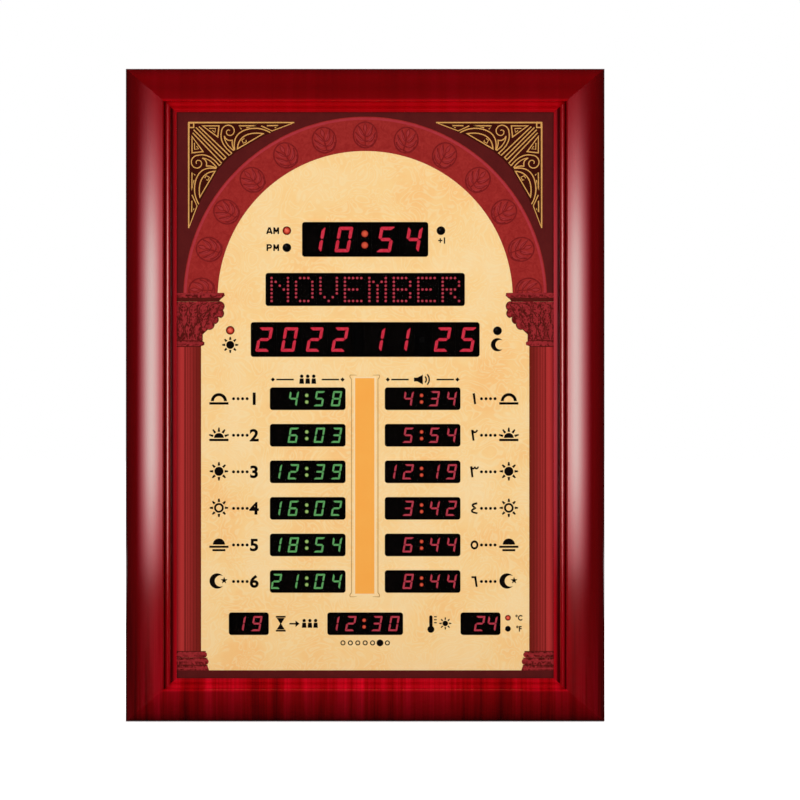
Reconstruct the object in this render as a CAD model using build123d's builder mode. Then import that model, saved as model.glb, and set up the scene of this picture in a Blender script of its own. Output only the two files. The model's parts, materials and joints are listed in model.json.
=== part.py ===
from build123d import *
from math import cos, radians, sin
import os

# Wall prayer clock: a mitred mahogany moulding round a printed face with LED displays.
# Millimetres, +Z up. The face looks towards -Y and the wall is at +Y. The middle of the
# whole clock is the origin. A "level" is a distance in front of the frame's flat back.

# ---- Overall size ----
WIDTH = 550.0
HEIGHT = 750.0
DEPTH = 47.0
BUMPER_HEIGHT = 4.5
BACK = DEPTH / 2 - BUMPER_HEIGHT
CREST_LEVEL = DEPTH - BUMPER_HEIGHT

# ---- Moulding ----
STILE_WIDTH = 58.5
RAIL_WIDTH = 50.0
EDGE_LEVEL = 26.0
CREST_AT = 29.5
LIP_LEVEL = 30.0
RABBET_AT = 50.5
REBATE_AT = 42.0
RAIL_SCALE = RAIL_WIDTH / STILE_WIDTH
RABBET_X = WIDTH / 2 - RABBET_AT
RABBET_Z = HEIGHT / 2 - RABBET_AT * RAIL_SCALE

# ---- Levels of the layers, from the back to the front ----
COVER_THICKNESS = 3.0
BOARD_BACK = 11.9
BOARD_FRONT = 13.5
MODULE_FRONT = 22.5
LENS_BACK = 23.0
PANEL_BACK = 24.0
PANEL_FRONT = 27.0

# ---- Face layout: centre x, centre z, width, height ----
TIME_WINDOW = (0, 179, 145, 40)
MONTH_WINDOW = (0, 121.5, 229, 38)
DATE_WINDOW = (0, 64, 263, 40)
ROW_WINDOW = (87, 26)
SMALL_WINDOW = (46, 26)
WINDOW_CORNER = 1.8
COLUMN_X = 66
ROW_COUNT = 6
FIRST_ROW = -4
ROW_PITCH = 42
LOWER_Z = -262.5
COUNTDOWN_X = -133.7
TEMPERATURE_X = 132.5
ROWS = [FIRST_ROW - ROW_PITCH * row for row in range(ROW_COUNT)]
EQAMAH_WINDOWS = [(-COLUMN_X, z, *ROW_WINDOW) for z in ROWS]
AZAN_WINDOWS = [(COLUMN_X, z, *ROW_WINDOW) for z in ROWS]
LOWER_WINDOWS = [
    (COUNTDOWN_X, LOWER_Z, *SMALL_WINDOW),
    (0, LOWER_Z, *ROW_WINDOW),
    (TEMPERATURE_X, LOWER_Z, *SMALL_WINDOW),
]
INDICATORS = [(-90, 189), (-90, 169.5), (87, 189), (-155, 74.5), (152, 74)]
INDICATOR_RADIUS = 4.0
INDICATOR_HOLE = 5.0
UNIT_LEDS = [(164, LOWER_Z + 6.8), (164, LOWER_Z - 5.8)]
UNIT_LED_RADIUS = 2.5
UNIT_LED_HOLE = 3.3
LED_SIDES = 10

# ---- Display modules ----
TIME_DIGITS = [-56.5, -24.5, 23.5, 55.5]
TIME_COLON = -0.5
DATE_DIGITS = [-116, -87, -58, -29, 13, 42, 89, 118]
MATRIX_COUNT = 8
MATRIX_PITCH = 28.1
LARGE_MODULE_HEIGHT = 38
ROW_MODULE = (84, 25)
SMALL_MODULE = (44, 25)
RECEIVER_X = 65.5

# ---- Boards: centre x, centre z, width, height, then their supports ----
CLOCK_BOARD = (0, TIME_WINDOW[1], 216, 42)
MONTH_BOARD = (0, MONTH_WINDOW[1], 258, 40)
DATE_BOARD = (0, DATE_WINDOW[1], 326, 42)
PRAYER_BOARD = (0, (ROWS[0] + ROWS[-1]) / 2, 248, 254)
LOWER_BOARD = (4, LOWER_Z, 352, 28)
CONTROL_BOARD = (172, -60, 88, 140)
DISPLAY_BOARDS = [CLOCK_BOARD, MONTH_BOARD, DATE_BOARD, PRAYER_BOARD, LOWER_BOARD]
DISPLAY_SUPPORTS = [
    *[(side * 102, CLOCK_BOARD[1]) for side in (-1, 1)],
    *[(side * 123, MONTH_BOARD[1]) for side in (-1, 1)],
    *[(side * 141, DATE_BOARD[1] - 8) for side in (-1, 1)],
    *[(side * 119, z) for side in (-1, 1) for z in (0, -218)],
    *[(side * 77, LOWER_Z) for side in (-1, 1)],
]
CONTROL_SUPPORTS = [
    (CONTROL_BOARD[0] + side * 39, CONTROL_BOARD[1] + end * 65)
    for side in (-1, 1)
    for end in (-1, 1)
]
SUPPORT_PEG = 2.4
TRUNK_X = -60
LINK_Z = -60

# ---- Back cover and what it carries ----
COVER_GAP = 0.5
COVER_WIDTH = WIDTH - 2 * (REBATE_AT + COVER_GAP)
COVER_HEIGHT = HEIGHT - 2 * (REBATE_AT * RAIL_SCALE + COVER_GAP)
SCREW_X = WIDTH / 2 - (REBATE_AT + RABBET_AT) / 2
SCREW_Z = HEIGHT / 2 - (REBATE_AT + RABBET_AT) / 2 * RAIL_SCALE
SIDE_SCREWS = [-250, 0, 250]
END_SCREWS = [-120, 120]
SPEAKER = (-165, -60)
SPEAKER_HOLE = 27.0
SPEAKER_FLANGE = 60.0
SPEAKER_BOLT = 25.0
BATTERY = (172, -95)
BATTERY_OPENING = 30.0
DOOR_SIZE = (36.0, 40.0)
DOOR_THICKNESS = 1.6
DOOR_TRAVEL = 34.0
SLIDE_GAP = 0.1
GUIDE_STOP = 3.0
POCKET_WIDTH = 70.0
POCKET_TOP = -284.0
POCKET_BOTTOM = -328.5
POCKET_LEVEL = 13.5
POCKET_WALL = 2.0
TRAY_GAP = 0.1
TRAY_LIP = (2.6, 1.5)
JACK_LEVEL = 7.6
JACK_BODY = (9.0, 8.4)
NOTCH_WIDTH = 12.0
NOTCH_LEVEL = 9.0

# ---- Fixings ----
SCREW_RADIUS = 1.45
PILOT_RADIUS = 1.5
CLEARANCE_RADIUS = 1.65
SCREW_HEAD = 3.0
STILE_MIDDLE = WIDTH / 2 - REBATE_AT / 2
HANGER_X = STILE_MIDDLE
HANGER_Z = 215.0
STRAP_WIDTH = 12.0
STRAP_THICKNESS = 0.9
STRAP_LENGTH = 26.0
STRAP_SCREWS = [-10.0, -20.0]
WIRE_RADIUS = 1.2
RING_RADIUS = 8.7
RING_LEAN = 2.5
FOLD_HOLE = 1.3
FOLD_OUTSIDE = FOLD_HOLE + STRAP_THICKNESS
PIVOT_LEVEL = -FOLD_OUTSIDE * cos(radians(15))
CORNERS = [(side, end) for side in (-1, 1) for end in (-1, 1)]
BUMPERS = [(side * STILE_MIDDLE, end * 270) for side, end in CORNERS]


# ---- Shared shapes ----
def layer(level):
    """Plane facing the viewer at a level."""
    return Plane.XZ.offset(level - BACK)


def prism(radius, start, end, sides, inset=0.0, drop=0.0):
    """Prism along the depth axis from one level to another, with a few sides.

    Inset and drop bevel its end face: inset inwards on the face, drop down the sides.
    """
    with BuildPart() as solid:
        with BuildSketch(layer(start)):
            RegularPolygon(radius, sides)
        extrude(amount=end - start)
        if inset > 0:
            face = solid.faces().sort_by(Axis.Y)[0 if end > start else -1]
            chamfer(face.edges(), length=inset, length2=drop, reference=face)
    return solid.part


def window_shape(width, height, mode=Mode.ADD):
    """Window outline with its corners taken off."""
    x = width / 2
    z = height / 2
    cut = WINDOW_CORNER
    right = [(x - cut, z), (x, z - cut), (x, cut - z), (x - cut, -z)]
    left = [(-a, -b) for a, b in right]
    Polygon(*right, *left, align=None, mode=mode)


def scattered(piece, points):
    """Copies of a piece at face points."""
    with BuildPart() as copies:
        with Locations(*[(x, 0, z) for x, z in points]):
            add(piece)
    return copies


def slab(boxes, level, thickness):
    """Flat plates, each given as centre x, centre z, width and height."""
    with BuildPart() as plates:
        with BuildSketch(layer(level)):
            for x, z, width, height in boxes:
                with Locations((x, z)):
                    Rectangle(width, height)
        extrude(amount=thickness)
    return plates


def save(solid, name):
    """Label a part and write its STEP file."""
    solid.part.label = name
    export_step(solid.part, f"parts/{name}.step")


os.makedirs("parts", exist_ok=True)


# ---- Moulding: two rails and two stiles, mitred at the corners ----
def moulding_section(width):
    """Section with x inwards from the outer edge and y as the level.

    A tall dome rises from the outer edge, lies almost flat behind its crest and drops into
    a quirk, then come a bead and a sloping lip. The width scales it, so that rail and
    stile meet line for line along the mitre.
    """
    scale = width / STILE_WIDTH
    crest = (CREST_AT * scale, CREST_LEVEL)
    brow = (42 * scale, CREST_LEVEL - 1.4)
    quirk = (43.7 * scale, LIP_LEVEL + 9)
    groove = (44.2 * scale, LIP_LEVEL + 2.6)
    bead_end = (52 * scale, LIP_LEVEL + 1.2)
    with BuildSketch() as section:
        with BuildLine():
            Line((0, 0), (0, EDGE_LEVEL))
            EllipticalCenterArc(
                (crest[0], EDGE_LEVEL),
                crest[0],
                CREST_LEVEL - EDGE_LEVEL,
                start_angle=90,
                arc_size=90,
            )
            TangentArc(crest, brow, tangent=(1, 0))
            ThreePointArc(brow, (43.3 * scale, CREST_LEVEL - 2.2), quirk)
            Line(quirk, groove)
            ThreePointArc(groove, (47.9 * scale, LIP_LEVEL + 6), bead_end)
            ThreePointArc(bead_end, (55.6 * scale, LIP_LEVEL + 2), (width, LIP_LEVEL))
            Polyline(
                (width, LIP_LEVEL),
                (width, PANEL_FRONT),
                (RABBET_AT * scale, PANEL_FRONT),
                (RABBET_AT * scale, COVER_THICKNESS),
                (REBATE_AT * scale, COVER_THICKNESS),
                (REBATE_AT * scale, 0),
                (0, 0),
            )
        make_face()
    return section.sketch


def mitre(side, end, for_rail):
    """Mitre plane of one corner, facing the rail's half or the stile's."""
    facing = 1 if for_rail else -1
    return Plane(
        origin=(side * WIDTH / 2, 0, end * HEIGHT / 2),
        z_dir=(-facing * side * RAIL_WIDTH, 0, facing * end * STILE_WIDTH),
    )


def moulding(plane, width, length, mitres, cover_points, back_points):
    """One length of moulding with its mitred ends and pilot holes."""
    with BuildPart() as strip:
        with BuildSketch(plane):
            add(moulding_section(width))
        extrude(amount=length / 2, both=True)
        for corner in mitres:
            split(bisect_by=corner, keep=Keep.TOP)
        with BuildSketch(layer(COVER_THICKNESS)):
            with Locations(*cover_points):
                RegularPolygon(PILOT_RADIUS, 6)
        extrude(amount=11, mode=Mode.SUBTRACT)
        if back_points:
            with BuildSketch(layer(0)):
                with Locations(*back_points):
                    RegularPolygon(PILOT_RADIUS, 6)
            extrude(amount=14.5, mode=Mode.SUBTRACT)
    return strip


def rail(end):
    """Top rail (end 1) or bottom rail (end -1)."""
    return moulding(
        Plane(origin=(0, BACK, end * HEIGHT / 2), x_dir=(0, 0, -end), z_dir=(-end, 0, 0)),
        RAIL_WIDTH,
        WIDTH,
        [mitre(side, end, True) for side in (-1, 1)],
        [(x, end * SCREW_Z) for x in END_SCREWS],
        [],
    )


def stile(side):
    """Right stile (side 1) or left stile (side -1)."""
    return moulding(
        Plane(origin=(side * WIDTH / 2, BACK, 0), x_dir=(-side, 0, 0), z_dir=(0, 0, side)),
        STILE_WIDTH,
        HEIGHT,
        [mitre(side, end, False) for end in (-1, 1)],
        [(side * SCREW_X, z) for z in SIDE_SCREWS],
        [(side * HANGER_X, HANGER_Z + drop) for drop in STRAP_SCREWS],
    )


frame_top_rail = rail(1)
save(frame_top_rail, "frame_top_rail")

with BuildPart() as frame_bottom_rail:
    add(rail(-1).part)
    with BuildSketch(Plane.XY.offset(-HEIGHT / 2)):
        with Locations((0, BACK)):
            Rectangle(NOTCH_WIDTH, 2 * NOTCH_LEVEL)
    extrude(amount=RAIL_WIDTH, mode=Mode.SUBTRACT)
save(frame_bottom_rail, "frame_bottom_rail")

frame_left_stile = stile(-1)
save(frame_left_stile, "frame_left_stile")
frame_right_stile = stile(1)
save(frame_right_stile, "frame_right_stile")


# ---- Printed face panel with its windows and indicator holes ----
all_windows = [TIME_WINDOW, MONTH_WINDOW, DATE_WINDOW]
all_windows += EQAMAH_WINDOWS + AZAN_WINDOWS + LOWER_WINDOWS

with BuildPart() as face_panel:
    with BuildSketch(layer(PANEL_BACK)):
        Rectangle(2 * RABBET_X - 2, 2 * RABBET_Z - 2)
        for x, z, width, height in all_windows:
            with Locations((x, z)):
                window_shape(width, height, mode=Mode.SUBTRACT)
        with Locations(*INDICATORS):
            RegularPolygon(INDICATOR_HOLE, LED_SIDES, mode=Mode.SUBTRACT)
        with Locations(*UNIT_LEDS):
            RegularPolygon(UNIT_LED_HOLE, LED_SIDES, mode=Mode.SUBTRACT)
    extrude(amount=PANEL_FRONT - PANEL_BACK)
save(face_panel, "face_panel")

# Strips between the cover and the panel press it against the moulding's lip.
STRIP = 5.0
strip_x = RABBET_X - STRIP / 2 - 0.2
strip_z = RABBET_Z - STRIP / 2 - 0.2
end_strip = 2 * (strip_x - STRIP / 2 - 0.2)
half_strip = end_strip / 2 - POCKET_WIDTH / 2 - 5
panel_spacers = slab(
    [
        (-strip_x, 0, STRIP, 2 * strip_z + STRIP),
        (strip_x, 0, STRIP, 2 * strip_z + STRIP),
        (0, strip_z, end_strip, STRIP),
        (-(end_strip - half_strip) / 2, -strip_z, half_strip, STRIP),
        ((end_strip - half_strip) / 2, -strip_z, half_strip, STRIP),
    ],
    COVER_THICKNESS,
    PANEL_BACK - COVER_THICKNESS,
)
save(panel_spacers, "panel_spacers")


# ---- Smoked lenses pressed into the windows ----
def lenses(windows):
    """Lenses for a list of windows, a little below the printed face."""
    with BuildPart() as glazing:
        with BuildSketch(layer(LENS_BACK)):
            for x, z, width, height in windows:
                with Locations((x, z)):
                    window_shape(width, height)
        extrude(amount=PANEL_FRONT - LENS_BACK - 0.5)
    return glazing


save(lenses([TIME_WINDOW]), "time_window")
save(lenses([MONTH_WINDOW]), "month_window")
save(lenses([DATE_WINDOW]), "date_window")
save(lenses(EQAMAH_WINDOWS), "eqamah_windows")
save(lenses(AZAN_WINDOWS), "azan_windows")
save(lenses(LOWER_WINDOWS), "lower_windows")


# ---- Display modules standing on their boards ----
def modules(boxes):
    """LED display blocks from the board up to just behind the lens."""
    return slab(boxes, BOARD_FRONT, MODULE_FRONT - BOARD_FRONT)


time_row = [(x, TIME_WINDOW[1], 31, LARGE_MODULE_HEIGHT) for x in TIME_DIGITS]
time_row.append((TIME_COLON, TIME_WINDOW[1], 15, LARGE_MODULE_HEIGHT))
save(modules(time_row), "time_digit_modules")

matrix_start = -(MATRIX_COUNT - 1) / 2 * MATRIX_PITCH
matrix_row = [
    (matrix_start + MATRIX_PITCH * place, MONTH_WINDOW[1], MATRIX_PITCH - 0.4, 34)
    for place in range(MATRIX_COUNT)
]
save(modules(matrix_row), "month_matrix_modules")

date_row = [(x, DATE_WINDOW[1], 28.6, LARGE_MODULE_HEIGHT) for x in DATE_DIGITS]
save(modules(date_row), "date_digit_modules")

for row, z in enumerate(ROWS, start=1):
    save(modules([(-COLUMN_X, z, *ROW_MODULE)]), f"eqamah_display_{row}")
    save(modules([(COLUMN_X, z, *ROW_MODULE)]), f"azan_display_{row}")
save(modules([(COUNTDOWN_X, LOWER_Z, *SMALL_MODULE)]), "countdown_display")
save(modules([(0, LOWER_Z, *ROW_MODULE)]), "friday_display")
save(modules([(TEMPERATURE_X, LOWER_Z, *SMALL_MODULE)]), "temperature_display")


# ---- Indicator LEDs in their black holders ----
LED_TIP = PANEL_FRONT + 0.4


def led(radius):
    """Round LED with a flange, a domed tip and two legs down to the board."""
    flange = LENS_BACK - 1.2
    leg = flange - BOARD_FRONT
    with BuildPart() as lamp:
        add(prism(radius + 0.6, flange, LENS_BACK, LED_SIDES))
        add(prism(radius, LENS_BACK, LED_TIP, LED_SIDES, radius * 0.45, radius * 0.4))
        for side in (-1, 1):
            with Locations((side * 1.27, BACK - BOARD_FRONT - leg / 2, 0)):
                Box(0.5, leg, 0.5)
    return lamp.part


def holder(radius, hole):
    """Sleeve round an LED, with a flange against the panel's back."""
    with BuildPart() as sleeve:
        add(prism(hole + 1.2, LENS_BACK, PANEL_BACK, LED_SIDES))
        add(prism(hole - 0.1, PANEL_BACK, PANEL_FRONT - 0.1, LED_SIDES))
        add(prism(radius + 0.15, LENS_BACK, PANEL_FRONT, LED_SIDES), mode=Mode.SUBTRACT)
    return sleeve.part


save(scattered(led(INDICATOR_RADIUS), INDICATORS), "indicator_leds")
save(scattered(led(UNIT_LED_RADIUS), UNIT_LEDS), "unit_leds")
save(scattered(holder(INDICATOR_RADIUS, INDICATOR_HOLE), INDICATORS), "indicator_holders")
save(scattered(holder(UNIT_LED_RADIUS, UNIT_LED_HOLE), UNIT_LEDS), "unit_led_holders")


# ---- Circuit boards on snap-in supports ----
def board(boxes, support_points):
    """Circuit boards with a square hole for the peg of each support."""
    with BuildPart() as plates:
        with BuildSketch(layer(BOARD_BACK)):
            for x, z, width, height in boxes:
                with Locations((x, z)):
                    Rectangle(width, height)
            with Locations(*support_points):
                Rectangle(SUPPORT_PEG + 0.2, SUPPORT_PEG + 0.2, mode=Mode.SUBTRACT)
        extrude(amount=BOARD_FRONT - BOARD_BACK)
    return plates


save(board(DISPLAY_BOARDS, DISPLAY_SUPPORTS), "display_boards")
save(board([CONTROL_BOARD], CONTROL_SUPPORTS), "control_board")

with BuildPart() as board_supports:
    with BuildSketch(layer(LENS_BACK)):
        with Locations(*DISPLAY_SUPPORTS, *CONTROL_SUPPORTS):
            Rectangle(9, 9)
    extrude(amount=PANEL_BACK - LENS_BACK)
    with BuildSketch(layer(BOARD_FRONT)):
        with Locations(*DISPLAY_SUPPORTS, *CONTROL_SUPPORTS):
            Rectangle(5, 5)
    extrude(amount=LENS_BACK - BOARD_FRONT)
    with BuildSketch(layer(BOARD_BACK)):
        with Locations(*DISPLAY_SUPPORTS, *CONTROL_SUPPORTS):
            Rectangle(SUPPORT_PEG, SUPPORT_PEG)
    extrude(amount=BOARD_FRONT - BOARD_BACK)
    with BuildSketch(layer(BOARD_BACK)):
        with Locations(*DISPLAY_SUPPORTS, *CONTROL_SUPPORTS):
            Rectangle(4, 4)
    extrude(amount=-1.6)
save(board_supports, "board_supports")

chip_points = [
    (40, CLOCK_BOARD[1], 14, 10),
    (40, MONTH_BOARD[1], 14, 10),
    (90, MONTH_BOARD[1], 14, 10),
    (40, DATE_BOARD[1], 14, 10),
    (100, DATE_BOARD[1], 14, 10),
    (40, PRAYER_BOARD[1] + 70, 14, 10),
    (40, PRAYER_BOARD[1] - 70, 14, 10),
    (40, LOWER_Z, 14, 10),
    (CONTROL_BOARD[0] - 8, CONTROL_BOARD[1] + 30, 16, 16),
]
save(slab(chip_points, BOARD_BACK - 1.8, 1.8), "driver_chips")

HEADER_HEIGHT = 2.0
header_boxes = [
    *[(TRUNK_X, z, 20, 6) for z in (CLOCK_BOARD[1], MONTH_BOARD[1], DATE_BOARD[1], 0, LOWER_Z)],
    (100, LINK_Z, 6, 20),
    (140, LINK_Z, 6, 20),
]
save(slab(header_boxes, BOARD_BACK - HEADER_HEIGHT, HEADER_HEIGHT), "cable_headers")
ribbon_boxes = [
    (TRUNK_X, (CLOCK_BOARD[1] + LOWER_Z) / 2, 16, CLOCK_BOARD[1] - LOWER_Z + 8),
    (120, LINK_Z, 48, 16),
]
save(slab(ribbon_boxes, BOARD_BACK - HEADER_HEIGHT - 1, 1), "ribbon_cables")

with BuildPart() as ir_receiver:
    with Locations((RECEIVER_X, BACK - BOARD_FRONT - 3.5, DATE_WINDOW[1])):
        Box(6, 7, 5.6)
    with Locations((RECEIVER_X, 0, DATE_WINDOW[1])):
        add(prism(2.6, BOARD_FRONT + 7, BOARD_FRONT + 8.6, 8, 1.2, 1.2))
save(ir_receiver, "ir_receiver")


# ---- Backup cell on the control board, reached through the cover ----
with BuildPart() as cell_holder:
    with Locations((BATTERY[0], 0, BATTERY[1])):
        add(prism(12.6, 6.6, BOARD_BACK, 16))
        add(prism(10.4, 6.6, BOARD_BACK - 1, 16), mode=Mode.SUBTRACT)
save(cell_holder, "cell_holder")
coin_cell = scattered(prism(10, 7.7, BOARD_BACK - 1, 16, 0.7, 0.7), [BATTERY])
save(coin_cell, "coin_cell")


# ---- Speaker behind the cover's grille ----
ledge = COVER_THICKNESS + 1.5
speaker_bolts = [
    (SPEAKER[0] + side * SPEAKER_BOLT, SPEAKER[1] + end * SPEAKER_BOLT) for side, end in CORNERS
]

with BuildPart() as speaker_basket:
    with BuildSketch(layer(COVER_THICKNESS)):
        with Locations(SPEAKER):
            Rectangle(SPEAKER_FLANGE, SPEAKER_FLANGE)
        with Locations(*speaker_bolts):
            RegularPolygon(PILOT_RADIUS, 6, mode=Mode.SUBTRACT)
    extrude(amount=1.5)
    with Locations((SPEAKER[0], 0, SPEAKER[1])):
        add(prism(27.5, ledge, 12.5, 16, 9, 6))
        add(prism(16.5, 12.5, 21, 16))
        add(prism(25.5, COVER_THICKNESS, ledge, 16), mode=Mode.SUBTRACT)
        add(prism(23.5, ledge, 11.5, 16, 8, 6), mode=Mode.SUBTRACT)
save(speaker_basket, "speaker_basket")

with BuildPart() as speaker_cone:
    with Locations((SPEAKER[0], 0, SPEAKER[1])):
        add(prism(25.4, ledge - 0.8, ledge, 16))
        add(prism(22.5, ledge, 10, 16, 14, 5))
        add(prism(21.3, ledge - 0.8, 9.2, 16, 14, 5), mode=Mode.SUBTRACT)
save(speaker_cone, "speaker_cone")

with BuildPart() as speaker_grille:
    with Locations((SPEAKER[0], 0, SPEAKER[1])):
        add(prism(30, 0, -1.2, 24, 1, 0.8))
        add(prism(26.8, 0, 1.6, 24))
    with BuildSketch(layer(-1.2)):
        for bar in range(-3, 4):
            rise = bar * 6.2
            with Locations((SPEAKER[0], SPEAKER[1] + rise)):
                Rectangle(2 * (24**2 - rise**2) ** 0.5, 2.6)
    extrude(amount=3, mode=Mode.SUBTRACT)
save(speaker_grille, "speaker_grille")


def pan_screw(seat, length):
    """Pan-head screw whose head sits behind a seat level."""
    with BuildPart() as fastener:
        add(prism(SCREW_HEAD, seat, seat - 1.8, 8, 0.9, 0.9))
        add(prism(SCREW_RADIUS, seat, seat + length, 6))
    return fastener.part


speaker_screws = scattered(pan_screw(0, 9), speaker_bolts)
save(speaker_screws, "speaker_screws")


# ---- Back cover: sheet, vents and battery door guides ----
cover_points = [
    *[(side * SCREW_X, z) for side in (-1, 1) for z in SIDE_SCREWS],
    *[(x, end * SCREW_Z) for x in END_SCREWS for end in (-1, 1)],
]
vent_points = [
    (side * 90, middle + 9 * step) for side in (-1, 1) for middle in (250, -160) for step in (-1, 0, 1)
]
cover_bottom = -COVER_HEIGHT / 2
pocket_middle = (POCKET_TOP + POCKET_BOTTOM) / 2
pocket_height = POCKET_TOP - POCKET_BOTTOM
tray_width = POCKET_WIDTH + 2 * POCKET_WALL
tray_top = POCKET_TOP + POCKET_WALL
guide_x = DOOR_SIZE[0] / 2 + 0.2
guide_bottom = BATTERY[1] - DOOR_SIZE[1] / 2
guide_top = BATTERY[1] + DOOR_SIZE[1] / 2 + DOOR_TRAVEL
lip_level = -(SLIDE_GAP + DOOR_THICKNESS + SLIDE_GAP)

with BuildPart() as back_cover:
    with BuildSketch(layer(0)):
        Rectangle(COVER_WIDTH, COVER_HEIGHT)
        with Locations(*cover_points, *speaker_bolts):
            RegularPolygon(CLEARANCE_RADIUS, 6, mode=Mode.SUBTRACT)
        with Locations(SPEAKER):
            RegularPolygon(SPEAKER_HOLE, 24, mode=Mode.SUBTRACT)
        with Locations(BATTERY):
            Rectangle(BATTERY_OPENING, BATTERY_OPENING, mode=Mode.SUBTRACT)
        with Locations(*vent_points):
            Rectangle(70, 3.5, mode=Mode.SUBTRACT)
        with Locations((0, (tray_top + TRAY_GAP + cover_bottom) / 2)):
            Rectangle(tray_width + 2 * TRAY_GAP, tray_top + TRAY_GAP - cover_bottom, mode=Mode.SUBTRACT)
    extrude(amount=COVER_THICKNESS)
    for side in (-1, 1):
        with BuildSketch(Plane.XY.offset(guide_bottom - GUIDE_STOP)):
            with BuildLine():
                Polyline(
                    (BATTERY[0] + side * guide_x, BACK),
                    (BATTERY[0] + side * guide_x, BACK - lip_level),
                    (BATTERY[0] + side * (guide_x - 2.5), BACK - lip_level),
                    (BATTERY[0] + side * (guide_x - 2.5), BACK - lip_level + 1.1),
                    (BATTERY[0] + side * (guide_x + 2.5), BACK - lip_level + 1.1),
                    (BATTERY[0] + side * (guide_x + 3.6), BACK),
                    close=True,
                )
            make_face()
        extrude(amount=guide_top - guide_bottom + GUIDE_STOP)
    with BuildSketch(layer(lip_level)):
        with Locations((BATTERY[0], guide_bottom - GUIDE_STOP / 2)):
            Rectangle(2 * guide_x, GUIDE_STOP)
    extrude(amount=-lip_level)
save(back_cover, "back_cover")

cover_screws = scattered(pan_screw(0, 12), cover_points)
save(cover_screws, "cover_screws")

with BuildPart() as battery_door:
    with BuildSketch(layer(-SLIDE_GAP - DOOR_THICKNESS)):
        with Locations(BATTERY):
            Rectangle(*DOOR_SIZE)
    extrude(amount=DOOR_THICKNESS)
    with BuildSketch(layer(-SLIDE_GAP - DOOR_THICKNESS)):
        with Locations(*[(BATTERY[0], BATTERY[1] - 14 + 3 * ridge) for ridge in range(4)]):
            Rectangle(22, 1.4)
    extrude(amount=-0.9)
save(battery_door, "battery_door")


# ---- Plug tray in the cover's lower edge: a moulded recess that the adapter's plug turns down in ----
with BuildPart() as plug_tray:
    with BuildSketch(layer(0)):
        with Locations((0, (tray_top + cover_bottom) / 2)):
            Rectangle(tray_width, tray_top - cover_bottom)
    extrude(amount=COVER_THICKNESS)
    with BuildSketch(layer(0)):
        with Locations((0, pocket_middle)):
            Rectangle(tray_width, pocket_height + 2 * POCKET_WALL)
    extrude(amount=POCKET_LEVEL + POCKET_WALL)
    with BuildSketch(layer(COVER_THICKNESS)):
        with Locations((0, pocket_middle)):
            Rectangle(tray_width + 2 * TRAY_LIP[0], pocket_height)
    extrude(amount=TRAY_LIP[1])
    with BuildSketch(layer(0)):
        with Locations((0, pocket_middle)):
            Rectangle(POCKET_WIDTH, pocket_height)
    extrude(amount=POCKET_LEVEL, mode=Mode.SUBTRACT)
    with BuildSketch(Plane.XY.offset(cover_bottom)):
        with Locations((0, BACK)):
            Rectangle(NOTCH_WIDTH, 2 * NOTCH_LEVEL)
    extrude(amount=POCKET_BOTTOM - cover_bottom, mode=Mode.SUBTRACT)
    with BuildSketch(Plane.XY.offset(POCKET_TOP)):
        with Locations((0, BACK - JACK_LEVEL)):
            Rectangle(JACK_BODY[0] + 0.2, JACK_BODY[1] + 0.2)
    extrude(amount=POCKET_WALL, mode=Mode.SUBTRACT)
save(plug_tray, "plug_tray")


# ---- Power jack in the tray's top wall, facing down ----
with BuildPart() as power_jack:
    with Locations((0, BACK - JACK_LEVEL, POCKET_TOP - 1)):
        Box(JACK_BODY[0] + 2, JACK_BODY[1] + 2, 2)
    with Locations((0, BACK - JACK_LEVEL, POCKET_TOP + 6.5)):
        Box(*JACK_BODY, 13)
    with BuildSketch(Plane.XY.offset(POCKET_TOP - 2)):
        with Locations((0, BACK - JACK_LEVEL)):
            RegularPolygon(3.2, 12)
            RegularPolygon(1.0, 8, mode=Mode.SUBTRACT)
    extrude(amount=10, mode=Mode.SUBTRACT)
save(power_jack, "power_jack")


# ---- Hangers: a strap folded round the straight side of a D ring ----
def hanger_strap(side):
    """Strap screwed to one stile, its upper end rolled round the ring's wire."""
    with BuildPart() as strap:
        with BuildSketch(Plane.YZ.offset(side * HANGER_X - STRAP_WIDTH / 2)):
            with Locations((BACK + STRAP_THICKNESS / 2, HANGER_Z - STRAP_LENGTH / 2)):
                Rectangle(STRAP_THICKNESS, STRAP_LENGTH)
            with Locations((BACK - PIVOT_LEVEL, HANGER_Z)):
                RegularPolygon(FOLD_OUTSIDE, 12, rotation=15)
                RegularPolygon(FOLD_HOLE, 12, rotation=15, mode=Mode.SUBTRACT)
        extrude(amount=STRAP_WIDTH)
        with BuildSketch(layer(-STRAP_THICKNESS)):
            with Locations(*[(side * HANGER_X, HANGER_Z + drop) for drop in STRAP_SCREWS]):
                RegularPolygon(CLEARANCE_RADIUS, 6)
        extrude(amount=STRAP_THICKNESS, mode=Mode.SUBTRACT)
        chamfer(strap.edges().filter_by(Axis.Y).group_by(Axis.Z)[0], length=3.5)
    return strap


def ring_outline():
    """Closed D: a straight axle, two short sides and a round top."""
    straight = 8.0
    corner = 1.6
    crown = [
        (RING_RADIUS * cos(radians(turn)), straight + RING_RADIUS * sin(radians(turn)))
        for turn in range(0, 181, 30)
    ]
    return [
        (0, 0),
        (RING_RADIUS - corner, 0),
        (RING_RADIUS, corner),
        *crown,
        (-RING_RADIUS, corner),
        (corner - RING_RADIUS, 0),
    ]


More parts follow.
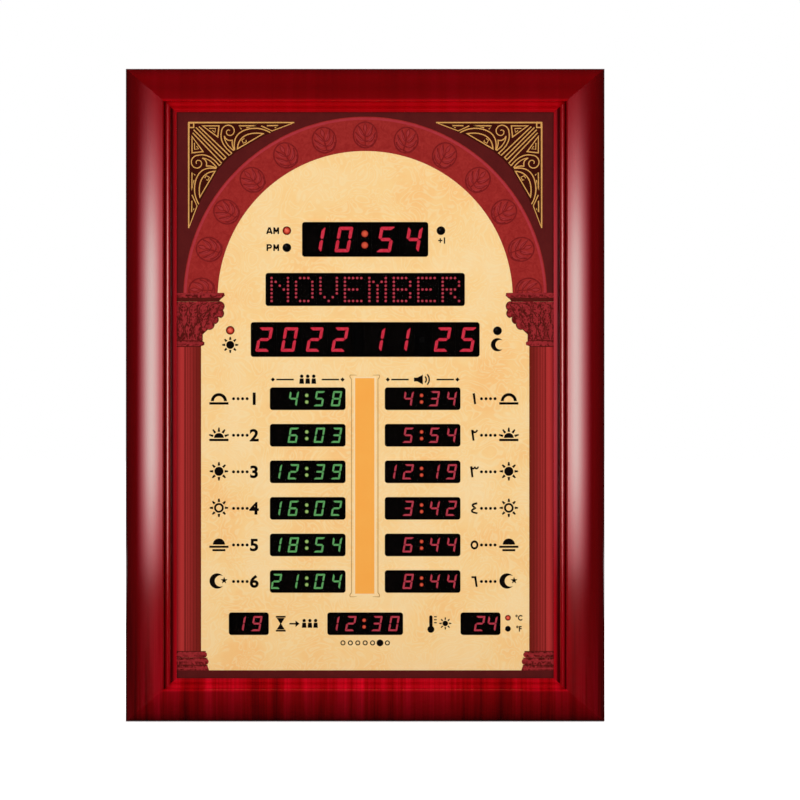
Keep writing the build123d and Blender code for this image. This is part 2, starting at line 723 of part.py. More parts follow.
def hanger_ring(side):
    """D ring of wire, leaning back against the wood above its strap."""
    lean = radians(RING_LEAN)
    plane = Plane(
        origin=(side * HANGER_X, BACK - PIVOT_LEVEL, HANGER_Z),
        x_dir=(1, 0, 0),
        z_dir=(0, -cos(lean), -sin(lean)),
    )
    with BuildPart() as ring:
        with BuildLine(plane):
            Polyline(*ring_outline(), close=True)
        with BuildSketch(Plane.YZ.offset(side * HANGER_X)):
            with Locations((BACK - PIVOT_LEVEL, HANGER_Z)):
                RegularPolygon(WIRE_RADIUS, 8)
        sweep(transition=Transition.RIGHT)
    return ring


for side, word in ((-1, "left"), (1, "right")):
    save(hanger_strap(side), f"{word}_hanger_strap")
    save(hanger_ring(side), f"{word}_hanger_ring")
strap_points = [(side * HANGER_X, HANGER_Z + drop) for side in (-1, 1) for drop in STRAP_SCREWS]
hanger_screws = scattered(pan_screw(-STRAP_THICKNESS, 14), strap_points)
save(hanger_screws, "hanger_screws")

# Soft bumpers keep the frame off the wall.
wall_bumpers = scattered(prism(7, 0, -BUMPER_HEIGHT, 12, 1.6, 1.5), BUMPERS)
save(wall_bumpers, "wall_bumpers")
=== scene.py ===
"""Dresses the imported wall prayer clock: lacquered frame, printed face, smoked windows and lit displays."""

import json
import logging
import math
from collections.abc import Callable, Iterable, Sequence
from dataclasses import dataclass, field
from enum import Enum
from functools import cache

import bmesh
import bpy
from mathutils import Matrix, Vector


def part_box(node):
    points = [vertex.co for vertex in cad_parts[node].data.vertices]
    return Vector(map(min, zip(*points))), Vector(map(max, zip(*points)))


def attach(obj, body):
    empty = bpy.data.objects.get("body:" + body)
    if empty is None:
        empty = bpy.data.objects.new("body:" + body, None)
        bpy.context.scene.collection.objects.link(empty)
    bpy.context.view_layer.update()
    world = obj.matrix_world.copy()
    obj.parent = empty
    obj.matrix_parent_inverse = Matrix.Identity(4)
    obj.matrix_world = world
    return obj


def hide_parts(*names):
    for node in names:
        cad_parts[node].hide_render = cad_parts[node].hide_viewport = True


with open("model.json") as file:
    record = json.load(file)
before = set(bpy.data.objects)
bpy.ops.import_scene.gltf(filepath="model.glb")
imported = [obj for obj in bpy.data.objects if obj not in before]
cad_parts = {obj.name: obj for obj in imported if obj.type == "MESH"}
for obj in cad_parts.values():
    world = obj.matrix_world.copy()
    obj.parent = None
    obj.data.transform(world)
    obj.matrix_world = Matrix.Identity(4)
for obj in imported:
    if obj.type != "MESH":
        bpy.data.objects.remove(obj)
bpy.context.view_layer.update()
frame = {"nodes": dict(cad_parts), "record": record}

log = logging.getLogger("clock")

MM = 0.001
# Places closer than this, in metres, count as one.
CLOSE = 1e-6
# The frame's flat back stands this far behind the middle of the clock; levels count forward from it.
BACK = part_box("frame_top_rail")[1].y / MM
PANEL_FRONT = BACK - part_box("face_panel")[0].y / MM
MODULE_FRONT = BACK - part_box("time_digit_modules")[0].y / MM
BOARD_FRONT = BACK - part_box("display_boards")[0].y / MM
HALF_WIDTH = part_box("frame_right_stile")[1].x / MM
HALF_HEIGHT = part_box("frame_top_rail")[1].z / MM
# Inner edge of the moulding, where the sheet comes into sight.
SIGHT_X = 216.5
SIGHT_Z = 325.0
# Inner edge of the printed columns, and the edge of the print, which lies under the moulding.
COLUMN_INNER = 188.5
PRINT_EDGE = 217.4
# Height of one printed layer, the gap under the first, and the steps by which the shapes of an ink alternate.
PRINT_STEP = 0.03
PRINT_GAP = 0.01
LIFT_STEP = PRINT_STEP / 9
LIFTS = 6
# Of the built-in typeface, as shares of its size: the height of a capital, and how far its strokes swell.
CAPITAL_SHARE = 0.686
STROKE_SWELL = 0.034

Point = tuple[float, float]
Loop = list[Point]
BMesh = bmesh.types.BMesh
Tree = bpy.types.NodeTree
Socket = bpy.types.NodeSocket


# ---- Outlines on the face, in millimetres, x to the right and z up ----
def arc(center: Point, radius: float, start: float, end: float, steps: int) -> Loop:
    """Points along an arc.

    Args:
        center: Middle of the arc.
        radius: Its radius.
        start: First angle in degrees.
        end: Last angle in degrees.
        steps: Number of stretches.

    Returns:
        The points, both ends included.
    """
    turns = [math.radians(start + (end - start) * step / steps) for step in range(steps + 1)]
    return [(center[0] + radius * math.cos(t), center[1] + radius * math.sin(t)) for t in turns]


def circle(center: Point, radius: float, steps: int = 40) -> Loop:
    """Closed circle."""
    return arc(center, radius, 0, 360, steps)[:-1]


def rectangle(left: float, right: float, bottom: float, top: float) -> Loop:
    """Rectangle between four edges."""
    return [(left, bottom), (right, bottom), (right, top), (left, top)]


def rounded(center: Point, width: float, height: float, radius: float, steps: int = 6) -> Loop:
    """Rectangle with round corners.

    Args:
        center: Its middle.
        width: Full width.
        height: Full height.
        radius: Corner radius.
        steps: Stretches in each corner.

    Returns:
        The closed outline.
    """
    x = width / 2 - radius
    z = height / 2 - radius
    loop = []
    for side, end, start in ((1, 1, 0), (-1, 1, 90), (-1, -1, 180), (1, -1, 270)):
        middle = (center[0] + side * x, center[1] + end * z)
        loop += arc(middle, radius, start, start + 90, steps)
    return loop


def through(first: Point, middle: Point, last: Point, steps: int) -> Loop:
    """Points along the arc through three points.

    Args:
        first: Where it starts.
        middle: A point on it.
        last: Where it ends.
        steps: Number of stretches.

    Returns:
        The points, both ends included.
    """
    a, b, c = Vector(first), Vector(middle), Vector(last)
    ab, ac = b - a, c - a
    cross = 2 * (ab.x * ac.y - ab.y * ac.x)
    offset = Vector((ac.y * ab.length_squared - ab.y * ac.length_squared,
                     ab.x * ac.length_squared - ac.x * ab.length_squared)) / cross
    center = a + offset
    start = math.degrees(math.atan2(*(a - center).yx))
    end = math.degrees(math.atan2(*(c - center).yx))
    turn = (end - start + 180) % 360 - 180
    return arc((center.x, center.y), offset.length, start, start + turn, steps)


def bend(first: Point, pull: Point, last: Point, steps: int = 12) -> Loop:
    """Quadratic curve from one point to another, pulled towards a third.

    Args:
        first: Where it starts.
        pull: What it bends towards.
        last: Where it ends.
        steps: Number of stretches.

    Returns:
        The points, both ends included.
    """
    loop = []
    for step in range(steps + 1):
        t = step / steps
        weights = ((1 - t) ** 2, 2 * t * (1 - t), t * t)
        loop.append(tuple(sum(w * p[i] for w, p in zip(weights, (first, pull, last))) for i in (0, 1)))
    return loop


def bends(*points: Point, steps: int = 12) -> Loop:
    """Curves that join end to end.

    Args:
        points: Where they start, then what each bends towards and where it ends.
        steps: Number of stretches of each.

    Returns:
        The points, both ends included.
    """
    loop = [points[0]]
    for first in range(0, len(points) - 2, 2):
        loop += bend(*points[first:first + 3], steps)[1:]
    return loop


def spiral(center: Point, radius: float, start: float, turns: float, steps: int = 44) -> Loop:
    """Scroll that winds inwards.

    Args:
        center: Its eye.
        radius: Its outer radius.
        start: Angle of its outer end in degrees.
        turns: Turns to the eye, negative for clockwise.
        steps: Number of stretches.

    Returns:
        The points from the outer end to the eye.
    """
    eye, closing = 0.16, 1.15
    loop = []
    for step in range(steps + 1):
        t = step / steps
        angle = math.radians(start + 360 * turns * t)
        reach = radius * (eye + (1 - eye) * (1 - t) ** closing)
        loop.append((center[0] + reach * math.cos(angle), center[1] + reach * math.sin(angle)))
    return loop


def swept(path: Loop, widths: Sequence[float]) -> Loop:
    """Closed outline of a line whose width changes.

    Args:
        path: Points along the middle of the line.
        widths: Its width at each of them.

    Returns:
        One side of the line, then the other side back.
    """
    left, right = [], []
    last = len(path) - 1
    for i, (point, width) in enumerate(zip(path, widths)):
        along = Vector(path[min(i + 1, last)]) - Vector(path[max(i - 1, 0)])
        across = Vector((-along.y, along.x)).normalized() * width / 2
        left.append((point[0] + across.x, point[1] + across.y))
        right.append((point[0] - across.x, point[1] - across.y))
    return left + right[::-1]


def ribbon(path: Loop, width: float, tip: float = 1.0) -> Loop:
    """Outline of a line that has some width at its start and a share of it at its tip."""
    last = len(path) - 1
    return swept(path, [width * (1 + (tip - 1) * i / last) for i in range(last + 1)])


def lobe(spine: Loop, width: float) -> Loop:
    """Outline of a leaf bent along a spine.

    Args:
        spine: Points along its middle.
        width: Its greatest width.

    Returns:
        The closed outline.
    """
    last, blunt = len(spine) - 1, 0.06
    waves = [math.sin(math.pi * (blunt + (1 - 2 * blunt) * i / last)) for i in range(last + 1)]
    return swept(spine, [width * wave for wave in waves])


def hoop(path: Loop, width: float) -> tuple[Loop, Loop]:
    """Outline and hole of a closed line of some width.

    Args:
        path: Corners along the middle of the line.
        width: Its width.

    Returns:
        The outline and the hole.
    """
    sides = ([], [])
    # A sharp corner's reach stops growing at this cosine.
    sharpest = 0.4
    for i, point in enumerate(path):
        before = (Vector(point) - Vector(path[i - 1])).normalized()
        after = (Vector(path[(i + 1) % len(path)]) - Vector(point)).normalized()
        normal = Vector((-before.y - after.y, before.x + after.x)).normalized()
        reach = width / 2 / max(sharpest, normal.dot(Vector((-before.y, before.x))))
        for side, sign in zip(sides, (1, -1)):
            side.append((point[0] + sign * reach * normal.x, point[1] + sign * reach * normal.y))
    return sides


def leaf(base: Point, tip: Point, width: float, steps: int = 7) -> Loop:
    """Pointed leaf between two points.

    Args:
        base: Its stalk end.
        tip: Its point.
        width: Its greatest width.
        steps: Stretches on each side.

    Returns:
        The closed outline.
    """
    belly = 0.42
    along = Vector(tip) - Vector(base)
    across = Vector((-along.y, along.x)).normalized() * width
    pull = Vector(base) + along * belly
    near = bend(base, tuple(pull + across), tip, steps)
    far = bend(tip, tuple(pull - across), base, steps)
    return near + far[1:-1]


def placed(loop: Loop, move: Point, turn: float = 0.0, scale: Point = (1.0, 1.0)) -> Loop:
    """Outline scaled, turned and then moved.

    Args:
        loop: The outline.
        move: Where its origin goes.
        turn: Angle in degrees.
        scale: Factors along x and z.

    Returns:
        The new outline.
    """
    c, s = math.cos(math.radians(turn)), math.sin(math.radians(turn))
    sized = [(x * scale[0], z * scale[1]) for x, z in loop]
    return [(move[0] + x * c - z * s, move[1] + x * s + z * c) for x, z in sized]


# ---- Meshes ----
def at(x: float, z: float, level: float) -> Vector:
    """Place of a face point at a level, in metres."""
    return Vector((x, BACK - level, z)) * MM


def only_verts(geom: Iterable) -> list[bmesh.types.BMVert]:
    """The vertices among some elements of a mesh."""
    return [part for part in geom if isinstance(part, bmesh.types.BMVert)]


def ring_edges(bm: BMesh, verts: list[bmesh.types.BMVert]) -> list[bmesh.types.BMEdge]:
    """Adds the edges that join vertices into a ring."""
    return [bm.edges.new(pair) for pair in zip(verts, verts[1:] + verts[:1])]


def add_plate(bm: BMesh, loops: Sequence[Loop], level: float, thickness: float, slot: int = 0) -> None:
    """Adds a flat plate with an outline and any holes.

    Args:
        bm: Mesh that it goes into.
        loops: The outline, then its holes.
        level: Level of its back.
        thickness: How far it reaches forward.
        slot: Material slot of its faces.
    """
    edges = []
    for loop in loops:
        edges += ring_edges(bm, [bm.verts.new(at(x, z, level)) for x, z in loop])
    made = bmesh.ops.triangle_fill(bm, edges=edges, use_beauty=True, use_dissolve=False)
    faces = [part for part in made["geom"] if isinstance(part, bmesh.types.BMFace)]
    front = only_verts(bmesh.ops.extrude_face_region(bm, geom=faces, use_keep_orig=True)["geom"])
    bmesh.ops.translate(bm, verts=front, vec=Vector((0, -thickness * MM, 0)))
    for face in {face for vert in front for face in vert.link_faces} | set(faces):
        face.material_index = slot


def add_turned(bm: BMesh, profile: Loop, center: Point, steps: int = 32, slot: int = 0) -> None:
    """Adds a turned shape whose axis runs along the depth.

    Args:
        bm: Mesh that it goes into.
        profile: Pairs of radius and level, from the axis round to the axis.
        center: Face point of its axis.
        steps: Sides of the turned shape.
        slot: Material slot of its faces.
    """
    earlier = set(bm.faces)
    verts = [bm.verts.new(at(center[0] + radius, center[1], level)) for radius, level in profile]
    edges = [bm.edges.new(pair) for pair in zip(verts, verts[1:])]
    bmesh.ops.spin(bm, geom=verts + edges, cent=at(*center, 0), axis=(0, 1, 0),
                   angle=math.tau, steps=steps, use_merge=True)
    made = set(bm.faces) - earlier
    for face in made:
        face.material_index = slot
    bmesh.ops.remove_doubles(bm, verts=list({vert for face in made for vert in face.verts}), dist=CLOSE)


def mesh_of(bm: BMesh, name: str, materials: Iterable[bpy.types.Material] = ()) -> bpy.types.Mesh:
    """Turns a mesh under construction into a finished one.

    Args:
        bm: The mesh under construction, which is freed.
        name: Name of the finished one.
        materials: What its material slots hold.

    Returns:
        The finished mesh.
    """
    mesh = bpy.data.meshes.new(name)
    bm.to_mesh(mesh)
    bm.free()
    for material in materials:
        mesh.materials.append(material)
    return mesh


def add_object(name: str, data: bpy.types.ID) -> bpy.types.Object:
    """Adds an object to the scene.

    Args:
        name: Its name.
        data: Its mesh, lamp, camera or curve.

    Returns:
        The object.
    """
    made = bpy.data.objects.new(name, data)
    bpy.context.scene.collection.objects.link(made)
    return made


def finish_piece(bm: BMesh, name: str, finishes: Sequence["Finish"], body: str = "case",
                 replaces: Iterable[str] = (), smooth: float = 0.0) -> bpy.types.Object:
    """Turns a mesh into a dressed piece that rides on a body.

    Args:
        bm: The mesh, in place.
        name: Name of the piece.
        finishes: One finish for each of its material slots.
        body: CAD body that it rides on.
        replaces: CAD nodes that it stands for.
        smooth: Angle in degrees under which edges are shaded smooth.

    Returns:
        The new object.
    """
    bmesh.ops.remove_doubles(bm, verts=bm.verts, dist=1e-8)
    bmesh.ops.recalc_face_normals(bm, faces=bm.faces)
    mesh = mesh_of(bm, name, [finish.material() for finish in finishes])
    if smooth > 0:
        mesh.shade_smooth()
        mesh.set_sharp_from_angle(angle=math.radians(smooth))
    piece = add_object(name, mesh)
    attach(piece, body)
    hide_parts(*replaces)
    log.info("%s: %d faces", name, len(mesh.polygons))
    return piece


def add_words(bm: BMesh, words: str, center: Point, height: float, level: float,
              stretch: float = 1.0) -> None:
    """Adds raised characters in the built-in plain typeface.

    Args:
        bm: Mesh that they go into.
        words: The characters.
        center: Their middle.
        height: Height of a capital or a number.
        level: Level of their back.
        stretch: Factor along their width.
    """
    curve = bpy.data.curves.new("characters", "FONT")
    curve.body = words
    curve.align_x = "CENTER"
    curve.offset = STROKE_SWELL
    curve.extrude = 0.5
    curve.resolution_u = 4
    drawn = add_object("characters", curve)
    bpy.context.view_layer.update()
    mesh = bpy.data.meshes.new_from_object(drawn)
    size = height / CAPITAL_SHARE * MM
    place = Matrix.Translation(at(center[0], center[1] - height / 2, level + PRINT_STEP / 2))
    turn = Matrix.Rotation(math.radians(90), 4, "X")
    mesh.transform(place @ turn @ Matrix.Diagonal((size * stretch, size, PRINT_STEP * MM, 1)))
    bm.from_mesh(mesh)
    bpy.data.objects.remove(drawn)
    bpy.data.curves.remove(curve)
    bpy.data.meshes.remove(mesh)


def carve(piece: bpy.types.Object, low: Vector, high: Vector) -> None:
    """Cuts a box out of a piece.

    Args:
        piece: The piece to cut.
        low: Lowest corner of the box.
        high: Highest corner of the box.
    """
    bm = bmesh.new()
    bmesh.ops.create_cube(bm, size=1.0)
    bmesh.ops.scale(bm, verts=bm.verts, vec=high - low)
    bmesh.ops.translate(bm, verts=bm.verts, vec=(low + high) / 2)
    cutter = add_object("cutter", mesh_of(bm, "cutter"))
    cut = piece.modifiers.new("cut", "BOOLEAN")
    cut.object = cutter
    cut.solver = "EXACT"
    bpy.context.view_layer.update()
    carved = bpy.data.meshes.new_from_object(piece.evaluated_get(bpy.context.evaluated_depsgraph_get()))
    piece.modifiers.clear()
    piece.data = carved
    bpy.data.objects.remove(cutter)


# ---- Finishes ----
def color(code: str, alpha: float = 1.0) -> tuple[float, float, float, float]:
    """Linear colour of an sRGB hex value.

    Args:
        code: Six hex digits.
        alpha: Alpha value.

    Returns:
        Red, green, blue and alpha.
    """
    parts = [int(code[i:i + 2], 16) / 255 for i in (0, 2, 4)]
    linear = [part / 12.92 if part <= 0.04045 else ((part + 0.055) / 1.055) ** 2.4 for part in parts]
    return (*linear, alpha)


def metres(*lengths: float) -> tuple[float, ...]:
    """Lengths in metres, from millimetres."""
    return tuple(length * MM for length in lengths)


def fill_inputs(tree: Tree, node: bpy.types.Node, inputs: dict) -> None:
    """Sets or links the inputs of a node.

    Args:
        tree: Node tree of the node.
        node: The node.
        inputs: A value or an output socket for each named or numbered input.
    """
    for name, value in inputs.items():
        if isinstance(value, Socket):
            tree.links.new(value, node.inputs[name])
        else:
            node.inputs[name].default_value = value


def add_node(tree: Tree, kind: str, settings: dict | None = None,
             inputs: dict | None = None) -> bpy.types.Node:
    """Adds a node with its settings, values and links.

    Args:
        tree: Its node tree.
        kind: Node type, without the ShaderNode before it.
        settings: Attributes of the node.
        inputs: A value or an output socket for each named or numbered input.

    Returns:
        The new node.
    """
    made = tree.nodes.new(f"ShaderNode{kind}")
    for name, value in (settings or {}).items():
        setattr(made, name, value)
    fill_inputs(tree, made, inputs or {})
    return made


def add_ramp(tree: Tree, factor: Socket, stops: Sequence[tuple[float, str]]) -> Socket:
    """Adds a colour ramp.

    Args:
        tree: Its node tree.
        factor: What drives it.
        stops: Places and sRGB hex values.

    Returns:
        Its colour output.
    """
    ramp = add_node(tree, "ValToRGB", inputs={"Fac": factor})
    elements = ramp.color_ramp.elements
    for _ in range(len(stops) - 2):
        elements.new(0.5)
    for element, (place, code) in zip(elements, stops):
        element.position = place
        element.color = color(code)
    return ramp.outputs["Color"]


def calculate(tree: Tree, operation: str, *values: Socket | float) -> Socket:
    """Adds a calculation.

    Args:
        tree: Its node tree.
        operation: What it works out.
        values: The outputs and numbers that it takes.

    Returns:
        Its result.
    """
    made = add_node(tree, "Math", {"operation": operation}, dict(enumerate(values)))
    return made.outputs["Value"]


def rescale(tree: Tree, value: Socket, source: Sequence[float], target: Point = (0.0, 1.0),
            easing: str = "LINEAR") -> Socket:
    """Adds a change of range that stops at both ends.

    Args:
        tree: Its node tree.
        value: What it takes.
        source: First and last value that it expects.
        target: What it makes of them.
        easing: LINEAR or SMOOTHSTEP.

    Returns:
        Its result.
    """
    ends = dict(zip(("From Min", "From Max", "To Min", "To Max"), (*source, *target)))
    made = add_node(tree, "MapRange", {"interpolation_type": easing}, {"Value": value, **ends})
    return made.outputs["Result"]


def blend(tree: Tree, factor: Socket | float, colors: Sequence, how: str = "MIX") -> Socket:
    """Adds a blend of two colours.

    Args:
        tree: Its node tree.
        factor: Share of the second one.
        colors: The two, each a colour or an output.
        how: MIX or MULTIPLY.

    Returns:
        Its colour output.
    """
    made = add_node(tree, "Mix", {"data_type": "RGBA", "blend_type": how},
                    {"Factor": factor, 6: colors[0], 7: colors[1]})
    return made.outputs[2]


def coordinates(tree: Tree) -> Socket:
    """Object coordinates in metres."""
    return add_node(tree, "TexCoord").outputs["Object"]


def coordinate(tree: Tree, axis: str) -> Socket:
    """One of the object coordinates, X, Y or Z."""
    return add_node(tree, "SeparateXYZ", inputs={0: coordinates(tree)}).outputs[axis]


def add_noise(tree: Tree, place: Socket, size_mm: float, detail: float, roughness: float = 0.5,
              warp: float = 0.0) -> Socket:
    """Adds cloudy noise.

    Args:
        tree: Its node tree.
        place: Where it is looked up.
        size_mm: Size of its clouds.
        detail: How many finer layers it has.
        roughness: How strong they are.
        warp: How far it curls.

    Returns:
        Its value.
    """
    made = add_node(tree, "TexNoise",
                    inputs={"Vector": place, "Scale": 1 / (size_mm * MM), "Detail": detail,
                            "Roughness": roughness, "Distortion": warp})
    return made.outputs["Fac"]


def new_material(name: str, inputs_for: Callable[[Tree], dict]) -> bpy.types.Material:
    """Makes a material on the standard shader.

    Args:
        name: Its name.
        inputs_for: Gives the shader's inputs, from nodes that it adds to the tree.

    Returns:
        The material.
    """
    made = bpy.data.materials.new(name)
    made.use_nodes = True
    tree = made.node_tree
    fill_inputs(tree, tree.nodes["Principled BSDF"], inputs_for(tree))
    return made


@dataclass(frozen=True)
class Finish:
    """A surface finish: two colours that mottle into each other over a fine grain."""

    name: str
    base: str
    second: str
    roughness: float = 0.45
    metallic: float = 0.0
    specular: float = 0.5
    coat: float = 0.0
    coat_roughness: float = 0.1
    alpha: float = 1.0
    mottle_mm: float = 12.0
    mottle_warp: float = 0.0
    mottle_spread: float = 0.18
    grain_mm: float = 0.8
    grain_depth: float = 0.02
    glow: float = 0.0

    def pattern(self, tree: Tree) -> Socket:
        """Colour over the surface.

        Args:
            tree: Its node tree.

        Returns:
            The colour output.
        """
        clouds = add_noise(tree, coordinates(tree), self.mottle_mm, 4.0, 0.6, self.mottle_warp)
        return add_ramp(tree, clouds, [(0.5 - self.mottle_spread, self.base),
                                       (0.5 + self.mottle_spread, self.second)])

    def relief(self, tree: Tree) -> Socket:
        """Fine grain as a bumped normal.

        Args:
            tree: Its node tree.

        Returns:
            The normal output.
        """
        grain = add_noise(tree, coordinates(tree), self.grain_mm, 2.0)
        bump = add_node(tree, "Bump",
                        inputs={"Height": grain, "Strength": 1.0, "Distance": self.grain_depth * MM})
        return bump.outputs["Normal"]

    def shader_inputs(self, tree: Tree) -> dict:
        """Inputs of the standard shader.

        Args:
            tree: Its node tree.

        Returns:
            A value or an output for each.
        """
        pattern = self.pattern(tree)
        inputs = {"Base Color": pattern, "Normal": self.relief(tree), "Roughness": self.roughness,
                  "Metallic": self.metallic, "Specular IOR Level": self.specular, "Coat Weight": self.coat,
                  "Coat Roughness": self.coat_roughness, "Alpha": self.alpha}
        if self.glow > 0:
            inputs |= {"Emission Color": pattern, "Emission Strength": self.glow}
        return inputs

    @cache
    def material(self) -> bpy.types.Material:
        """The material of this finish, made once."""
        return new_material(self.name, self.shader_inputs)


# Stain and painted shade across the moulding, from the sight edge (0) to the outer edge (1): lip, bead, quirk
# and dome. It darkens to the outer edge, partly as a shaded stain and partly as painted shade; the dark stops
# in the stiles' groove by the lip are painted shade, and the light stops on the beads are painted light.
STILE_STAIN_AND_SHADE = ((0.0, "D8D0D8"), (0.05, "B8B0B6"), (0.07, "7C7278"), (0.1, "60545A"), (0.12, "867E84"),
               (0.135, "BCB4BA"), (0.21, "BCB4BA"), (0.25, "ACA6AC"), (0.32, "B0AAB0"), (0.45, "A69EA4"),
               (0.62, "928A90"), (0.8, "888088"), (1.0, "6A6068"))
RAIL_STAIN_AND_SHADE = ((0.0, "E0D8E0"), (0.05, "E8E2E8"), (0.08, "FFFFFF"), (0.21, "FFFFFF"), (0.255, "F4EEF4"),
              (0.294, "BDB7BD"), (0.32, "A8A2A8"), (0.45, "A29AA0"), (0.62, "928A90"), (0.8, "888088"),
              (1.0, "6A6068"))
# Streaks of the veneer: width, depth and length in millimetres, and their share in its figure.
VENEER_STREAKS = (((62.5, 1000.0, 909.091), 0.42), ((11.7647, 500.0, 294.118), 0.38),
                  ((2.38095, 333.333, 111.111), 0.2))
# Tone of the flutes across a column's shaft, from its inner edge (0) to the moulding (1).
FLUTE_TONES = ((0.14, "FFFFFF"), (0.19, "D8D8D8"), (0.24, "FFFFFF"), (0.32, "D4D4D4"), (0.37, "FFFFFF"),
               (0.45, "D0D0D0"), (0.5, "FFFFFF"), (0.55, "CCCCCC"), (0.6, "FFFFFF"), (0.645, "B4B4B4"),
               (0.675, "B4B4B4"), (0.7, "FFFFFF"))


@dataclass(frozen=True)
class Mahogany(Finish):
    """Stained veneer under lacquer: upright ribbon figure, and a stain that darkens to the outer edge, with
    painted shade in the stiles' grooves and painted light on the beads and the top rail.
    """

    darkest: str = "620004"
    # Heights between which the top rail gets lighter with painted light from above, and how much lighter.
    top_heights: Point = (352.0, 374.0)
    top_lift: float = 1.95
    # Heights between which the veneer's flame sets in, and the share of figure above them.
    flame_heights: Point = (-200.0, -335.0)
    quiet_share: float = 0.16
    figure_range: Point = (0.36, 0.64)

    def stain(self, tree: Tree) -> Socket:
        """Stain with painted shade and light: darker to the outer edge and in the stiles' grooves, lighter on
        the top rail.

        Args:
            tree: Its node tree.

        Returns:
            The colour output.
        """
        aside, height = (calculate(tree, "ABSOLUTE", coordinate(tree, axis)) for axis in "XZ")
        # The ramps paint shade into the grooves and towards the outer edge, and paint light onto the beads.
        over_stile = rescale(tree, aside, metres(SIGHT_X, HALF_WIDTH))
        over_rail = rescale(tree, height, metres(SIGHT_Z, HALF_HEIGHT))
        # Painted light from above: the outer part of the top rail gets lighter towards its top edge.
        lift = rescale(tree, coordinate(tree, "Z"), metres(*self.top_heights), (1.0, self.top_lift))
        rail = blend(tree, 1.0, (add_ramp(tree, over_rail, RAIL_STAIN_AND_SHADE), lift), "MULTIPLY")
        on_rail = calculate(tree, "GREATER_THAN", over_rail, over_stile)
        return blend(tree, on_rail, (add_ramp(tree, over_stile, STILE_STAIN_AND_SHADE), rail))

    def figure(self, tree: Tree) -> Socket:
        """Ribbon figure: narrow upright streaks that come in groups.

        Args:
            tree: Its node tree.

        Returns:
            The value's output.
        """
        total = 0.0
        for sizes, share in VENEER_STREAKS:
            scale = [1 / size for size in metres(*sizes)]
            stretched = add_node(tree, "Mapping",
                                 inputs={"Vector": coordinates(tree), "Scale": scale})
            streaks = add_noise(tree, stretched.outputs["Vector"], 1 / MM, 1.5, warp=0.35)
            total = calculate(tree, "MULTIPLY_ADD", streaks, share, total)
        return rescale(tree, total, self.figure_range)

    def pattern(self, tree: Tree) -> Socket:
        """Figure, strongest low down where the veneer's flame lies, under the stain with its painted shade
        and light.

        Args:
            tree: Its node tree.

        Returns:
            The colour output.
        """
        tones = [(0.0, self.darkest), (0.45, self.base), (1.0, self.second)]
        strong = add_ramp(tree, self.figure(tree), tones)
        low = rescale(tree, coordinate(tree, "Z"), metres(*self.flame_heights), (self.quiet_share, 1.0))
        veneer = blend(tree, low, (color(self.base), strong))
        return blend(tree, 1.0, (veneer, self.stain(tree)), "MULTIPLY")


@dataclass(frozen=True)
class ScreenInk(Finish):
    """Satin print with hardly a gloss of its own."""

    roughness: float = 0.5
    specular: float = 0.02


@dataclass(frozen=True)
class DamaskPrint(ScreenInk):
    """Printed cream ground with faint scrolling damask and warm clouds."""

    cloud: str = "FFC982"
    scroll: str = "FFE2AC"
    cloud_mm: float = 90.909
    scroll_mm: float = 38.4615
    # How often a stroke comes back across the scrolls, and how strongly it shows.
    scroll_turns: float = 46.0
    scroll_share: float = 0.5

    def pattern(self, tree: Tree) -> Socket:
        """Clouds of two creams, and soft curling strokes on them.

        Args:
            tree: Its node tree.

        Returns:
            The colour output.
        """
        clouds = add_noise(tree, coordinates(tree), self.cloud_mm, 5.0, 0.62)
        ground = add_ramp(tree, clouds, [(0.36, self.second), (0.5, self.base), (0.66, self.cloud)])
        curls = add_noise(tree, coordinates(tree), self.scroll_mm, 1.0, warp=2.6)
        swing = calculate(tree, "SINE", calculate(tree, "MULTIPLY", curls, self.scroll_turns))
        line = rescale(tree, swing, (0.1, 1.0), (0.0, self.scroll_share))
        return blend(tree, line, (ground, color(self.scroll)))


@dataclass(frozen=True)
class ColumnInk(ScreenInk):
    """Ink printed as a round fluted shaft, brightest near the frame."""

    shade: str = "6E1F12"
    half_shade: str = "761F19"
    far: str = "982226"

    def pattern(self, tree: Tree) -> Socket:
        """Tone across the column, with a dark line at each flute.

        Args:
            tree: Its node tree.

        Returns:
            The colour output.
        """
        aside = calculate(tree, "ABSOLUTE", coordinate(tree, "X"))
        way = rescale(tree, aside, metres(COLUMN_INNER, SIGHT_X))
        tones = [(0.0, self.shade), (0.1, self.half_shade), (0.45, self.base), (0.8, self.second),
                 (1.0, self.far)]
        return blend(tree, 1.0, (add_ramp(tree, way, tones), add_ramp(tree, way, FLUTE_TONES)), "MULTIPLY")


@dataclass(frozen=True)
class DomeResin(Finish):
    """Tinted cast dome with painted shade: darkest round its rim and brightest at its tip, where a highlight
    is painted.
    """

    rim_level: float = 25.4
    tip_level: float = 27.6
    steepness: float = 4.5

    def pattern(self, tree: Tree) -> Socket:
        """Painted shade from the rim up to the painted highlight at the tip.

        Args:
            tree: Its node tree.

        Returns:
            The colour output.
        """
        # Painted shade and highlight: the colour brightens with the height of the dome.
        rise = rescale(tree, coordinate(tree, "Y"), metres(BACK - self.rim_level, BACK - self.tip_level))
        way = calculate(tree, "POWER", rise, self.steepness)
        return add_ramp(tree, way, [(0.0, self.base), (1.0, self.second)])


# High-gloss lacquer over mahogany veneer: deep red, nearly black in its ribbons, with long soft reflections.
LACQUERED_MAHOGANY = Mahogany("lacquered_mahogany", "B6020C", "F00E2C", roughness=0.5, specular=0.02,
                              coat=1.0, coat_roughness=0.065, grain_mm=60.0, grain_depth=0.06)
# Stain without lacquer on the side that hangs against the wall: dull, with an open grain.
STAINED_MAHOGANY = Mahogany("stained_raw_mahogany", "7A1A14", "96271C", roughness=0.75, specular=0.2,
                            darkest="4A0D0A", grain_mm=1.2, grain_depth=0.05)
